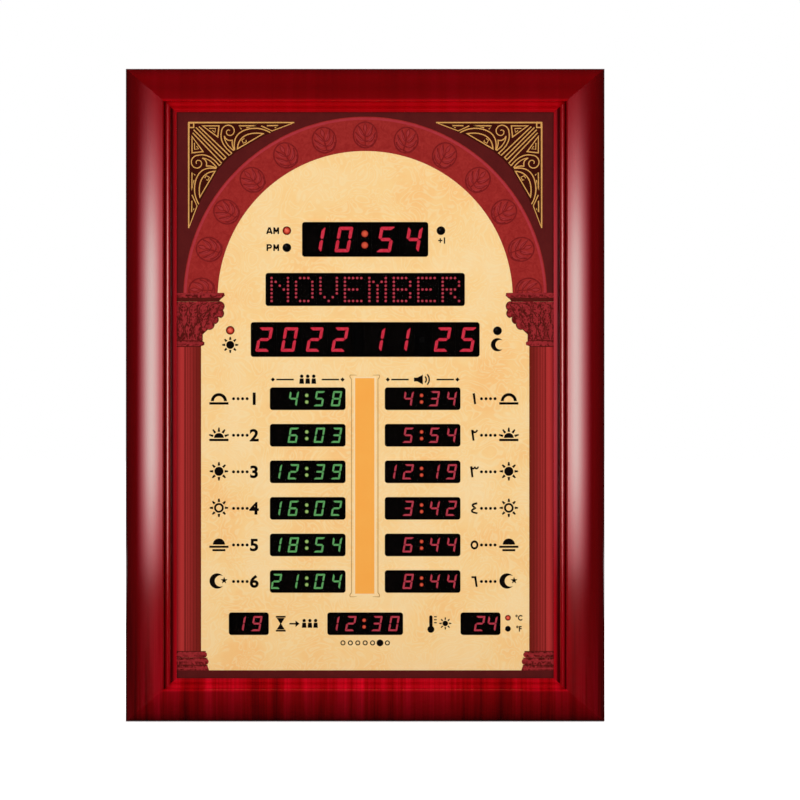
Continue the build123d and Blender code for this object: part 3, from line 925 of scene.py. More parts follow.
# Screen-printed acrylic sheet: a warm cream that clouds and scrolls very faintly.
PRINTED_CREAM = DamaskPrint("printed_cream_acrylic", "FFD592", "FFDCA2")
# Screen inks, printed straight on the sheet. The maroon ground is flat and quiet.
MAROON_INK = ScreenInk("maroon_screen_ink", "561818", "5C1B1A")
# The arch clouds a little, like rubbed plaster.
ARCH_INK = ScreenInk("brick_red_screen_ink", "932422", "A22E2A", mottle_mm=7.0, mottle_warp=1.5,
                     mottle_spread=0.14)
# Darker than the arch, so its lines look cut in; the leaves are lighter and look raised.
RELIEF_INK = ScreenInk("dark_red_screen_ink", "721718", "842222", mottle_mm=4.0)
PETAL_INK = ScreenInk("warm_red_screen_ink", "9C2C2D", "A83637", mottle_mm=4.0)
# A thin light line that reads as a lit edge.
RIM_INK = ScreenInk("light_red_screen_ink", "A83038", "B0363E")
# Shaded across, so that a flat print looks round and fluted.
SHAFT_INK = ColumnInk("column_red_screen_ink", "A02C29", "B63432")
# Strong warped clouds that read as carving in shade, with lit ribs and dark contours over them.
CAPITAL_INK = ScreenInk("capital_red_screen_ink", "561210", "A02C30", mottle_mm=7.0, mottle_warp=2.0,
                        mottle_spread=0.1)
LEAF_INK = ScreenInk("leaf_red_screen_ink", "8E2427", "A22F33", mottle_mm=3.0)
CONTOUR_INK = ScreenInk("contour_brown_screen_ink", "4E1712", "5A1A14", mottle_mm=3.0)
# Old gold with a slight sheen, over a brown so dark that it stands out.
GOLD_INK = ScreenInk("gold_screen_ink", "E2A760", "D09A52", 0.45, specular=0.05, mottle_mm=5.0)
SCROLL_GROUND_INK = ScreenInk("brown_black_screen_ink", "3A0F08", "42130C")
# A clear light orange, in a border paler than the sheet and a fine sand-coloured frame.
ORANGE_INK = ScreenInk("orange_screen_ink", "FFB252", "FFAE4E", mottle_mm=30.0)
SAND_INK = ScreenInk("sand_screen_ink", "C99A5C", "BE8E52")
PALE_INK = ScreenInk("pale_cream_screen_ink", "FFE2B0", "FFDDA8")
# Warm black, crisp against the cream.
BLACK_INK = ScreenInk("black_screen_ink", "0C0806", "120C09")
# Smoked acrylic: nearly black until an LED shines through it.
SMOKED_ACRYLIC = Finish("smoked_cast_acrylic", "060505", "080606", 0.06, specular=0.3, alpha=0.22,
                        grain_depth=0.0)
# Matte black polycarbonate: the display bodies vanish behind the smoke.
MODULE_BLACK = Finish("black_polycarbonate", "0B0807", "0E0A08", 0.6, specular=0.02)
# Cast epoxy light pipes: lit ones glow evenly, dark ones stay a tinted near black.
LIT_RED = Finish("lit_red_epoxy", "CC2438", "DC3C50", 0.5, specular=0.05, glow=0.85, mottle_mm=3.0)
FINE_RED = Finish("fine_lit_red_epoxy", "B43444", "C64A58", 0.5, specular=0.05, glow=0.8, mottle_mm=2.0)
LIT_GREEN = Finish("lit_green_epoxy", "58A45A", "74BC74", 0.5, specular=0.05, glow=0.75, mottle_mm=2.0)
DARK_EPOXY = Finish("dark_epoxy", "0E0B0A", "120D0C", 0.5, specular=0.02)
# The colons' domes glow, with painted shade round the rim and a painted hot middle.
LIT_ORANGE = DomeResin("lit_orange_epoxy", "8E1E18", "FA6A48", 0.4, specular=0.2, glow=0.9,
                       rim_level=22.5, tip_level=23.05, steepness=1.5)
LIT_LIME = DomeResin("lit_lime_epoxy", "3E7A2C", "CCE48C", 0.4, specular=0.2, glow=0.85,
                     rim_level=22.5, tip_level=23.05, steepness=1.5)
# Clear-cast LED domes: red ones lit, with painted shade round the rim and a painted highlight at the tip, the
# others black with a small sharp reflection.
LED_RED = DomeResin("red_led_dome", "9A200E", "F4644A", 0.2, specular=0.4, glow=0.1)
LED_BLACK = Finish("black_led_dome", "060505", "090707", 0.3, specular=0.2)
# Moulded ABS: black with a fine spark texture that breaks up reflections.
BLACK_ABS = Finish("black_moulded_abs", "101011", "161617", 0.5, specular=0.4, grain_mm=0.5, grain_depth=0.03)
# Extruded sheet: its pebbled back sparkles a little in raking light.
COVER_SHEET = Finish("pebbled_black_sheet", "17171A", "1D1D20", 0.55, specular=0.4, grain_mm=1.4,
                     grain_depth=0.12)
# Bright zinc plating over mild steel: cool grey with blurred reflections.
ZINC_STEEL = Finish("zinc_plated_steel", "B9BABD", "A5A7AB", 0.32, metallic=1.0, mottle_mm=6.0, grain_mm=0.4)
# Baked black paint, with a soft gloss.
PAINTED_STEEL = Finish("black_painted_steel", "1A1A1C", "222224", 0.4, specular=0.5)
# Ribbon cable: plain mid grey with a dull shine.
GREY_PVC = Finish("grey_pvc_ribbon", "77787B", "6D6E71", 0.5)
# Unpigmented nylon: milky off-white.
NYLON = Finish("natural_nylon", "DAD8CE", "CFCCC0", 0.5)
# Solder mask: deep green and fairly glossy, and a dull black that hides behind the displays.
GREEN_BOARD = Finish("green_solder_mask", "14552B", "0F4A25", 0.35, grain_mm=2.0)
BLACK_BOARD = Finish("black_solder_mask", "0A0A0B", "0D0D0E", 0.5, specular=0.2, grain_mm=2.0)
# Soft rubber: matte black that reflects almost nothing.
RUBBER = Finish("soft_black_rubber", "131313", "191919", 0.8, specular=0.3)

SLOT_FINISHES = {
    "mahogany": LACQUERED_MAHOGANY,
    "printed_panel": PRINTED_CREAM,
    "smoked_acrylic": SMOKED_ACRYLIC,
    "display_body": MODULE_BLACK,
    "led_resin": LED_RED,
    "black_plastic": BLACK_ABS,
    "grey_plastic": GREY_PVC,
    "white_nylon": NYLON,
    "circuit_board": GREEN_BOARD,
    "cover_plastic": COVER_SHEET,
    "painted_steel": PAINTED_STEEL,
    "steel": ZINC_STEEL,
    "rubber": RUBBER,
}


class Layer(Enum):
    """Order in which the inks lie on the sheet."""

    GROUND = 0
    BAND = 1
    MOTIF = 2
    TRIM = 3
    MARK = 4
    TOP = 5

    def level(self) -> float:
        """Level at which this ink starts."""
        return PANEL_FRONT + PRINT_GAP + self.value * PRINT_STEP


@dataclass
class Ink:
    """One ink on the face: shapes that all lie in one layer."""

    name: str
    finish: Finish
    layer: Layer
    bm: BMesh = field(default_factory=bmesh.new)
    shapes: int = 0

    def print(self, *loops: Loop) -> None:
        """Prints one shape, a hair off the level of the last.

        Args:
            loops: Its outline, then its holes.
        """
        self.shapes += 1
        lift = self.shapes % LIFTS * LIFT_STEP
        add_plate(self.bm, loops, self.layer.level() + lift, PRINT_STEP)

    def done(self) -> bpy.types.Object:
        """Turns the ink into a piece."""
        return finish_piece(self.bm, self.name, [self.finish])


# ---- The face's layout ----
@dataclass(frozen=True)
class Window:
    """A window in the sheet and the display behind it."""

    node: str
    x: float
    z: float
    width: float
    height: float

    def outline(self, gap: float = 0.0) -> Loop:
        """Outline of the window, or of its lens with a gap all round."""
        size = (self.width - 2 * gap, self.height - 2 * gap)
        return rounded((self.x, self.z), *size, WINDOW_CORNER - gap)


# Sizes of the windows that share a CAD node with others.
WINDOW_CORNER = 3.2
ROW_HEIGHT = 26.0
END_WIDTH = 46.0
MIDDLE_WIDTH = 87.0


def windows_of(node: str, count: int) -> list[Window]:
    """Windows that the CAD lenses of one node fill, from the top down or from the left.

    Args:
        node: The CAD node of the lenses.
        count: How many lenses it holds.

    Returns:
        Its windows.
    """
    low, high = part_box(node)
    spread_x = (high.x - low.x) / MM
    spread_z = (high.z - low.z) / MM
    middle = (low + high) / 2 / MM
    if count == 1:
        return [Window(node, middle.x, middle.z, spread_x, spread_z)]
    if spread_z > spread_x:
        pitch = (spread_z - ROW_HEIGHT) / (count - 1)
        top = high.z / MM - ROW_HEIGHT / 2
        return [Window(node, middle.x, top - pitch * row, spread_x, ROW_HEIGHT) for row in range(count)]
    left = Window(node, low.x / MM + END_WIDTH / 2, middle.z, END_WIDTH, spread_z)
    right = Window(node, high.x / MM - END_WIDTH / 2, middle.z, END_WIDTH, spread_z)
    return [left, Window(node, 0.0, middle.z, MIDDLE_WIDTH, spread_z), right]


TIME = windows_of("time_window", 1)[0]
MONTH = windows_of("month_window", 1)[0]
DATE = windows_of("date_window", 1)[0]
EQAMAH = windows_of("eqamah_windows", 6)
AZAN = windows_of("azan_windows", 6)
COUNTDOWN, FRIDAY, TEMPERATURE = windows_of("lower_windows", 3)
ALL_WINDOWS = [TIME, MONTH, DATE, *EQAMAH, *AZAN, COUNTDOWN, FRIDAY, TEMPERATURE]
# Places of the round LEDs and whether each is lit, their radius and that of their holes.
INDICATORS = [(-90.0, 189.0, True), (-90.0, 169.5, False), (87.0, 189.0, False),
              (-155.0, 74.5, True), (152.0, 74.0, False)]
UNIT_LEDS = [(164.0, FRIDAY.z + 6.8, True), (164.0, FRIDAY.z - 5.8, False)]
INDICATOR_RADIUS, INDICATOR_HOLE = 4.0, 5.0
UNIT_LED_RADIUS, UNIT_LED_HOLE = 2.5, 3.3


# ---- Frame ----
@dataclass
class Moulding:
    """Mitred mahogany moulding: a tall dome, a quirk behind its brow, a bead and a sloping lip."""

    stile_width: float = 58.5
    rail_width: float = 50.0
    edge_level: float = 26.0
    crest_at: float = 29.5
    crest_level: float = 42.5
    brow: Point = (12.5, 1.4)
    lip_level: float = 30.0
    # Points of a stile's section: distance from the outer edge, and height over the lip.
    nosing: Point = (43.7, 10.3)
    quirk: Point = (44.2, 9.0)
    groove: Point = (44.9, 2.6)
    bead: Point = (48.4, 6.0)
    bead_end: Point = (51.7, 2.8)
    fillet: Point = (52.9, 0.4)
    slope: Point = (54.2, 1.5)
    rabbet: float = 50.5
    rebate: float = 42.0
    cover_level: float = 3.0
    notch: Point = (12.0, 9.0)
    dome_steps: int = 28
    smooth_angle: float = 32.0

    def section(self, width: float) -> Loop:
        """Section with the distance from the outer edge and the level.

        Args:
            width: Width of the rail or stile.

        Returns:
            The closed section.
        """
        scale = width / self.stile_width
        crest = self.crest_level
        top = self.crest_at * scale
        reach, drop = self.brow[0] * scale, self.brow[1]
        radius = (reach ** 2 + drop ** 2) / (2 * drop)
        loop = [(0.0, 0.0)]
        for step in range(self.dome_steps + 1):
            turn = math.pi / 2 * step / self.dome_steps
            rise = (crest - self.edge_level) * math.sin(turn)
            loop.append((top * (1 - math.cos(turn)), self.edge_level + rise))
        brow_turn = math.degrees(2 * math.atan2(drop, reach))
        loop += arc((top, crest - radius), radius, 90, 90 - brow_turn, 8)[1:]
        marks = (self.nosing, self.quirk, self.groove, self.bead, self.bead_end, self.fillet, self.slope)
        nosing, quirk, groove, bead, bead_end, fillet, slope = (
            (inwards * scale, self.lip_level + rise) for inwards, rise in marks)
        loop += through((top + reach, crest - drop), nosing, quirk, 5)[1:]
        loop += [*through(groove, bead, bead_end, 16), fillet, slope, (width, self.lip_level)]
        loop += [(width, PANEL_FRONT), (self.rabbet * scale, PANEL_FRONT)]
        loop += [(self.rabbet * scale, self.cover_level), (self.rebate * scale, self.cover_level)]
        return [*loop, (self.rebate * scale, 0.0)]

    def blank(self, across: int, up: int) -> BMesh:
        """Length of the moulding with square ends.

        Args:
            across: Side of the clock that a stile lies on, 0 for a rail.
            up: End of the clock that a rail lies on, 0 for a stile.

        Returns:
            Its mesh.
        """
        bm = bmesh.new()
        if up:
            reach, axis = HALF_WIDTH, Vector((1, 0, 0))
            outline = [at(-reach, up * (HALF_HEIGHT - inwards), level)
                       for inwards, level in self.section(self.rail_width)]
        else:
            reach, axis = HALF_HEIGHT, Vector((0, 0, 1))
            outline = [at(across * (HALF_WIDTH - inwards), -reach, level)
                       for inwards, level in self.section(self.stile_width)]
        edges = ring_edges(bm, [bm.verts.new(place) for place in outline])
        end = bmesh.ops.contextual_create(bm, geom=edges)["faces"]
        moved = only_verts(bmesh.ops.extrude_face_region(bm, geom=end, use_keep_orig=True)["geom"])
        bmesh.ops.translate(bm, verts=moved, vec=axis * 2 * reach * MM)
        return bm

    def mitre(self, bm: BMesh, side: int, top: int, keep: int) -> None:
        """Cuts an end off along the line from a corner of the frame to the corner of the sight edge.

        Args:
            bm: Mesh of the length.
            side: -1 for a left corner, 1 for a right one.
            top: -1 for a lower corner, 1 for an upper one.
            keep: 1 to keep what lies on the rail's side of the line, -1 for the stile's.
        """
        normal = Vector((side * self.rail_width, 0, -top * self.stile_width)) * keep
        bmesh.ops.bisect_plane(bm, geom=[*bm.verts, *bm.edges, *bm.faces], dist=1e-7, clear_outer=True,
                               plane_co=at(side * HALF_WIDTH, top * HALF_HEIGHT, 0), plane_no=normal)
        bmesh.ops.holes_fill(bm, edges=[edge for edge in bm.edges if edge.is_boundary])

    def cut_notch(self, piece: bpy.types.Object) -> None:
        """Cuts the notch for the power cord, which bares raw wood.

        Args:
            piece: The bottom rail.
        """
        wide, deep = self.notch
        past, hair = 1.0, 0.01
        carve(piece, at(-wide / 2, -HALF_HEIGHT - past, deep),
              at(wide / 2, -HALF_HEIGHT + self.rail_width + past, -past))
        for face in piece.data.polygons:
            corners = [piece.data.vertices[index].co for index in face.vertices]
            if all(abs(co.x) < (wide / 2 + hair) * MM and co.y > (BACK - deep - hair) * MM for co in corners):
                face.material_index = 1

    def strip(self, name: str, node: str, across: int, up: int) -> bpy.types.Object:
        """One mitred length of the moulding, with a raw back.

        Args:
            name: Name of the piece.
            node: CAD node that it stands for.
            across: Side of the clock that a stile lies on, 0 for a rail.
            up: End of the clock that a rail lies on, 0 for a stile.

        Returns:
            The piece.
        """
        bm = self.blank(across, up)
        for flip in (-1, 1):
            self.mitre(bm, across or flip, up or flip, 1 if up else -1)
        for face in bm.faces:
            if all(abs(vert.co.y - BACK * MM) < CLOSE for vert in face.verts):
                face.material_index = 1
        return finish_piece(bm, name, [LACQUERED_MAHOGANY, STAINED_MAHOGANY],
                            replaces=[node], smooth=self.smooth_angle)

    def build(self) -> None:
        """Builds the two rails and two stiles."""
        self.strip("mahogany_top_rail", "frame_top_rail", 0, 1)
        self.cut_notch(self.strip("mahogany_bottom_rail", "frame_bottom_rail", 0, -1))
        self.strip("mahogany_left_stile", "frame_left_stile", -1, 0)
        self.strip("mahogany_right_stile", "frame_right_stile", 1, 0)


# ---- Printed face ----
@dataclass
class FaceSheet:
    """The printed sheet with its windows, and the smoked lenses in them."""

    lens_back: float = 23.0
    lens_front: float = 26.5

    def build(self) -> None:
        """Builds the sheet and the lenses."""
        low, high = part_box("face_panel")
        back = BACK - high.y / MM
        bm = bmesh.new()
        holes = [window.outline() for window in ALL_WINDOWS]
        holes += [circle((x, z), INDICATOR_HOLE, 32) for x, z, _ in INDICATORS]
        holes += [circle((x, z), UNIT_LED_HOLE, 28) for x, z, _ in UNIT_LEDS]
        edge = rectangle(low.x / MM, high.x / MM, low.z / MM, high.z / MM)
        add_plate(bm, [edge, *holes], back, PANEL_FRONT - back)
        finish_piece(bm, "printed_sheet", [PRINTED_CREAM], replaces=["face_panel"])
        for node in dict.fromkeys(window.node for window in ALL_WINDOWS):
            bm = bmesh.new()
            for window in ALL_WINDOWS:
                if window.node == node:
                    add_plate(bm, [window.outline(0.05)], self.lens_back, self.lens_front - self.lens_back)
            finish_piece(bm, f"smoked_{node}", [SMOKED_ACRYLIC], replaces=[node])


# Side leaves of a palmette: height of the stalk, then pull and tip of the spine, and width.
PALMETTE_LEAVES = ((-12.0, (9.0, -14.5), (11.6, -5.0), 3.6), (-7.0, (8.0, -7.0), (12.4, 3.4), 4.2),
                   (-1.6, (5.4, 0.4), (8.8, 10.2), 4.4))


@dataclass
class CornerScroll:
    """Gold scrollwork of an upper corner: lines and their mirror images across the corner's diagonal."""

    gold: Ink
    shade: Ink
    side: int
    corner: Point = (203.5, 314.0)
    reach: float = 123.0
    line: float = 1.3
    hook_line: float = 1.1

    def spots(self, path: Loop) -> Loop:
        """Face points of places given by how far they lie inwards and down from the corner."""
        return [(self.side * (self.corner[0] - inwards), self.corner[1] - down) for inwards, down in path]

    def both(self, path: Loop) -> tuple[Loop, Loop]:
        """Face points of a path and of its mirror image."""
        return self.spots(path), self.spots([place[::-1] for place in path])

    def twin(self, path: Loop, width: float, tip: float = 1.0) -> None:
        """Prints an open line twice."""
        for points in self.both(path):
            self.gold.print(ribbon(points, width, tip))

    def closed_twin(self, path: Loop) -> None:
        """Prints a closed line twice."""
        for points in self.both(path):
            self.gold.print(*hoop(points, self.line))

    def ground(self) -> None:
        """Prints the dark ground, a line along both edges and a square in the corner."""
        near = [(self.reach, 0.0), (97.0, 12.0), (88.8, 15.4), (56.4, 33.8), (44.2, 44.2)]
        far = [place[::-1] for place in near[-2::-1]]
        self.shade.print(self.spots([(0.0, 0.0), *near, *far]))
        self.twin([(0.8, 0.8), (self.reach - 1.0, 0.8)], 1.8, 0.8)
        self.gold.print(self.spots(rectangle(0.0, 7.2, 0.0, 7.2)), self.spots(rectangle(2.0, 5.8, 2.0, 5.8)))

    def straps(self) -> None:
        """Prints two straps along the diagonal, closed where they meet the arch."""
        self.twin([(9.0, 6.4), (43.6, 41.0)], self.line)
        self.gold.print(ribbon(self.spots([(43.8, 40.4), (40.4, 43.8)]), self.line))
        self.twin([(12.6, 5.4), (47.4, 38.6), (50.4, 35.6)], self.line)

    def volute(self) -> None:
        """Prints the volute and the leaf that leans on its stem."""
        stem = bend((50.2, 35.8), (35.4, 24.6), (38.4, 11.4)) + spiral((47.2, 11.2), 8.9, 180, 1.35)[1:]
        self.twin(stem, self.line, 0.8)
        self.twin(bend((52.6, 33.0), (42.0, 25.2), (41.6, 16.2)), self.line, 0.7)
        edge = bends((41.6, 16.2), (44.4, 22.8), (51.0, 21.0), (49.8, 26.0), (53.4, 32.6), steps=8)
        self.twin(edge, self.line)

    def sail(self) -> None:
        """Prints an outer rib, and a closed sail with a hook in it."""
        self.twin(bends((53.6, 32.4), (50.4, 14.6), (66.0, 9.2), (81.0, 4.4), (94.6, 12.4)), self.line)
        luff = bends((56.8, 31.0), (57.2, 20.4), (66.0, 15.6), (74.0, 11.6), (86.4, 13.6), steps=9)
        self.closed_twin([luff[-1], *luff[:-1]])
        self.twin([(64.6, 19.2), (61.8, 20.8), (63.6, 24.6), (67.2, 22.8), (66.4, 21.0)], self.hook_line)

    def fillers(self) -> None:
        """Prints small triangles in the corners left over, and the hook in the first."""
        self.closed_twin([(16.8, 4.6), (35.6, 4.6), (34.2, 17.4)])
        self.twin([(24.2, 7.4), (31.6, 7.6), (30.9, 12.2), (28.0, 9.8)], self.hook_line)
        self.twin([(61.4, 8.4), (58.0, 4.6), (79.0, 4.4), (67.0, 6.8)], self.line)
        self.twin([(84.0, 4.6), (96.6, 10.4), (self.reach - 3.0, 1.6)], self.line, 0.7)
        self.twin([(90.6, 4.4), (104.0, 4.2), (99.6, 7.0)], self.line)

    def build(self) -> None:
        """Prints the corner."""
        self.ground()
        self.straps()
        self.volute()
        self.sail()
        self.fillers()


@dataclass
class ArchPrint:
    """Arch, spandrels, corner scrollwork and the frame of the cream ground."""

    center: Point = (0.0, 111.0)
    inner: float = 169.5
    outer: float = 209.0
    rim: Point = (1.0, 3.6)
    overlap: float = 12.0
    medallion_ring: float = 188.0
    medallion_pitch: float = 14.5
    medallion_shape: Point = (0.92, 1.0)
    edge: float = PRINT_EDGE
    strip_top: float = -316.0

    def half_ring(self, outer: float, inner: float) -> Loop:
        """Outline of half a ring between two radii."""
        return arc(self.center, outer, 180, 0, 90) + arc(self.center, inner, 0, 180, 90)

    def spandrels(self) -> None:
        """Maroon ground above the arch and the strip along the bottom."""
        ink = Ink("maroon_print", MAROON_INK, Layer.GROUND)
        top = SIGHT_Z + 1
        arch = arc(self.center, self.inner + self.overlap, 180, 0, 72)
        ink.print([(-self.edge, self.center[1]), *arch, (self.edge, self.center[1]), (self.edge, top),
                   (-self.edge, top)])
        ink.print(rectangle(-self.edge, self.edge, -SIGHT_Z - 1, self.strip_top))
        ink.done()

    def band(self) -> None:
        """Brick red band with a lighter line near its outer edge."""
        ink = Ink("arch_band_print", ARCH_INK, Layer.BAND)
        ink.print(self.half_ring(self.outer, self.inner))
        ink.done()
        rim = Ink("arch_rim_print", RIM_INK, Layer.MOTIF)
        rim.print(self.half_ring(self.outer - self.rim[0], self.outer - self.rim[1]))
        rim.done()

    def medallion(self, line: Ink, fill: Ink, angle: float) -> None:
        """A palmette in a ring, its stem along the arch's radius.

        Args:
            line: Ink of its outlines.
            fill: Ink of its leaves.
            angle: Its angle on the arch in degrees.
        """
        ring = math.radians(angle)
        middle = (self.center[0] + self.medallion_ring * math.cos(ring),
                  self.center[1] + self.medallion_ring * math.sin(ring))

        def spot(loop: Loop) -> Loop:
            """Outline moved into the medallion."""
            return placed(loop, middle, angle - 90, self.medallion_shape)

        line.print(spot(circle((0, 0), 15.6, 36)), spot(circle((0, 0), 13.9, 36)))
        line.print(spot(rectangle(-0.7, 0.7, -13.4, 4.0)))
        fill.print(spot(leaf((0, 3.4), (0, 13.2), 4.0)))
        line.print(spot(leaf((0, 3.0), (0, 13.8), 5.2)), spot(leaf((0, 3.8), (0, 12.6), 3.2)))
        for side in (-1, 1):
            for base, pull, tip, width in PALMETTE_LEAVES:
                spine = bend((side * 0.8, base), (side * pull[0], pull[1]), (side * tip[0], tip[1]), 8)
                body = lobe(spine, width)
                fill.print(spot(body))
                line.print(spot(ribbon(spine, 0.8, 0.6)))
                line.print(spot(ribbon(body[len(spine):], 1.5, 0.6)))

    def medallions(self) -> None:
        """A row of medallions round the arch."""
        line = Ink("arch_medallion_print", RELIEF_INK, Layer.TRIM)
        fill = Ink("arch_leaf_print", PETAL_INK, Layer.MOTIF)
        for step in range(-6, 7):
            self.medallion(line, fill, 90 + step * self.medallion_pitch)
        line.done()
        fill.done()

    def scrollwork(self) -> None:
        """Gold scrollwork in both upper corners, over a darker ground."""
        gold = Ink("gold_scroll_print", GOLD_INK, Layer.MOTIF)
        shade = Ink("scroll_ground_print", SCROLL_GROUND_INK, Layer.BAND)
        for side in (-1, 1):
            CornerScroll(gold, shade, side).build()
        gold.done()
        shade.done()

    def build(self) -> None:
        """Prints the upper part of the face."""
        self.spandrels()
        self.band()
        self.medallions()
        self.scrollwork()


@dataclass
class ColumnPrint:
    """The two printed columns under the arch."""

    inner: float = COLUMN_INNER
    outer: float = PRINT_EDGE
    shaft_top: float = 58.0
    shaft_bottom: float = -294.0
    plinth_bottom: float = -316.0

    def rings(self, side: int, red: Ink, dark: Ink, light: Ink) -> None:
        """Neck, capital and base of one column.

        Args:
            side: -1 for the left column, 1 for the right one.
            red: Ink of the column.
            dark: Ink of its shadows.
            light: Ink of its lit edges.
        """
        def shape(points: Loop) -> Loop:
            """Outline mirrored to this side."""
            return [(side * x, z) for x, z in points]

        edge = self.outer
        red.print(shape([(edge, 117.6), (162.5, 117.6), (161.5, 114.5), (165.5, 111), (168, 107.5),
                         (edge, 107.5)]))
        bell = [(edge, 107.4), (168, 107.4)]
        bell += arc((167.2, 102.2), 5.4, 85, 230, 6)
        bell += arc((167.8, 94.0), 5.4, 120, 245, 6)
        bell += arc((173.8, 87.0), 5.2, 140, 255, 6)
        bell += arc((179.0, 81.0), 5.6, 150, 290, 6)
        bell += [(187.0, 70.0), (187.0, 62.6), (edge, 62.6)]
        red.print(shape(bell))
        red.print(shape([(edge, 62.5), (187.0, 62.5), (184.6, 60.6), (184.8, 57.6), (188.5, 56.4),
                         (edge, 56.4)]))
        for ring, reach, height in ((-298.0, 181.6, 6.8), (-306.0, 179.8, 7.6)):
            torus = [(edge, ring + height / 2)] + arc((reach + height / 2, ring), height / 2, 90, 270, 8)
            red.print(shape([*torus, (edge, ring - height / 2)]))
        red.print(shape([(edge, -309.9), (181.4, -309.9), (179.4, self.plinth_bottom),
                         (edge, self.plinth_bottom)]))
        dark.print(shape([(edge, 112.0), (165.0, 112.0), (168.2, 107.6), (edge, 107.6)]))
        dark.print(shape(ribbon(bell[1:-1], 0.9)))
        dark.print(shape(ribbon([(162.5, 117.4), (161.6, 114.5), (165.4, 111.2)], 0.8)))
        for z, reach in ((62.6, 187.0), (55.9, 188.6), (-294.3, 183.0), (-301.9, 181.0), (-310.2, 181.0)):
            dark.print(shape(rectangle(reach, edge, z - 0.45, z + 0.45)))
        for z, reach in ((116.4, 163.5), (60.0, 186.0), (-297.2, 182.0), (-305.0, 181.0), (-313.6, 181.0)):
            light.print(shape(rectangle(reach, edge, z - 0.7, z + 0.7)))
        self.foliage(shape, dark, light)

    def foliage(self, shape: Callable[[Loop], Loop], dark: Ink, light: Ink) -> None:
        """Leaves of a capital in three tiers, each with its shadow and a lit midrib.

        Args:
            shape: Mirrors an outline to the column's side.
            dark: Ink of its shadows.
            light: Ink of its lit edges.
        """
        tiers = ((64.0, 20.0, 193.5, 3, 9.6), (77.5, 17.0, 186.0, 3, 11.4), (89.5, 15.0, 175.5, 4, 11.2))
        for base, reach, first, count, pitch in tiers:
            for step in range(count):
                x = first + step * pitch
                lean = (self.outer - x) * -0.2
                spine = bend((x, base), (x - lean * 0.2, base + reach * 0.7), (x + lean, base + reach), 8)
                body = lobe(spine, pitch * 0.86)
                dark.print(shape(ribbon(body[:len(spine)], 1.0)))
                dark.print(shape(ribbon(body[len(spine):], 1.0)))
                light.print(shape(ribbon(spine[1:], 1.2, 0.5)))
                for side in (-1, 1):
                    for share in (2, 4, 6):
                        start = spine[share]
                        end = (start[0] + side * pitch * 0.3, start[1] + reach * 0.16)
                        light.print(shape(ribbon([start, end], 1.1, 0.4)))
        for step in range(6):
            x = 171.0 + step * 8.2
            light.print(shape(ribbon(spiral((x, 103.4), 3.2, 90, -1.1, 16), 1.0, 0.6)))

    def build(self) -> None:
        """Prints both columns."""
        shaft = Ink("column_shaft_print", SHAFT_INK, Layer.BAND)
        red = Ink("capital_print", CAPITAL_INK, Layer.MARK)
        dark = Ink("capital_shade_print", CONTOUR_INK, Layer.TOP)
        light = Ink("capital_light_print", LEAF_INK, Layer.TOP)
        for side in (-1, 1):
            near, far = sorted((side * self.inner, side * self.outer))
            shaft.print(rectangle(near, far, self.shaft_bottom - 2, self.shaft_top))
            self.rings(side, red, dark, light)
        for ink in (shaft, red, dark, light):
            ink.done()


@dataclass
class CenterBar:
    """The orange bar between the two columns of windows, in a thin bracketed frame."""

    left: float = -11.5
    right: float = 10.5
    bottom: float = -231.0
    top: float = 22.6
    margin: float = 4.2
    line: float = 0.8
    curl_line: float = 0.9
    inset: float = 3.0
    border: float = 1.8
    end_border: float = 1.5
    line_inset: float = 4.0

    def curl(self, ink: Ink, side: int, end: int) -> None:
        """Prints the curl at one corner of the frame.

        Args:
            ink: Ink of the frame.
            side: -1 for the left side, 1 for the right one.
            end: -1 for the bottom, 1 for the top.
        """
        x = self.left - self.margin if side < 0 else self.right + self.margin
        z = self.bottom if end < 0 else self.top

        def spot(outwards: float, beyond: float) -> Point:
            """Face point that lies so far outwards and beyond the end."""
            return (x + side * outwards, z + end * beyond)

        ink.print(ribbon(bend(spot(0.0, -4.2), spot(3.0, -1.0), spot(1.2, 0.6), 8), self.curl_line))
        ink.print(ribbon([spot(1.6, 0.6), spot(-6.0, 0.4)], self.curl_line, 0.4))

    def build(self) -> None:
        """Prints the bar, its pale border and its frame."""
        bar = Ink("orange_bar_print", ORANGE_INK, Layer.MOTIF)
        bar.print(rectangle(self.left, self.right, self.bottom + self.inset, self.top - self.inset))
        bar.done()
        pale = Ink("pale_border_print", PALE_INK, Layer.GROUND)
        pale.print(rectangle(self.left - self.border, self.right + self.border,
                             self.bottom + self.inset - self.end_border,
                             self.top - self.inset + self.end_border))
        pale.done()
        frame_ink = Ink("bar_frame_print", SAND_INK, Layer.TRIM)
        half = self.line / 2
        for x in (self.left - self.margin, self.right + self.margin):
            frame_ink.print(rectangle(x - half, x + half, self.bottom + self.line_inset,
                                      self.top - self.line_inset))
        for side in (-1, 1):
            for end in (-1, 1):
                self.curl(frame_ink, side, end)
        frame_ink.done()


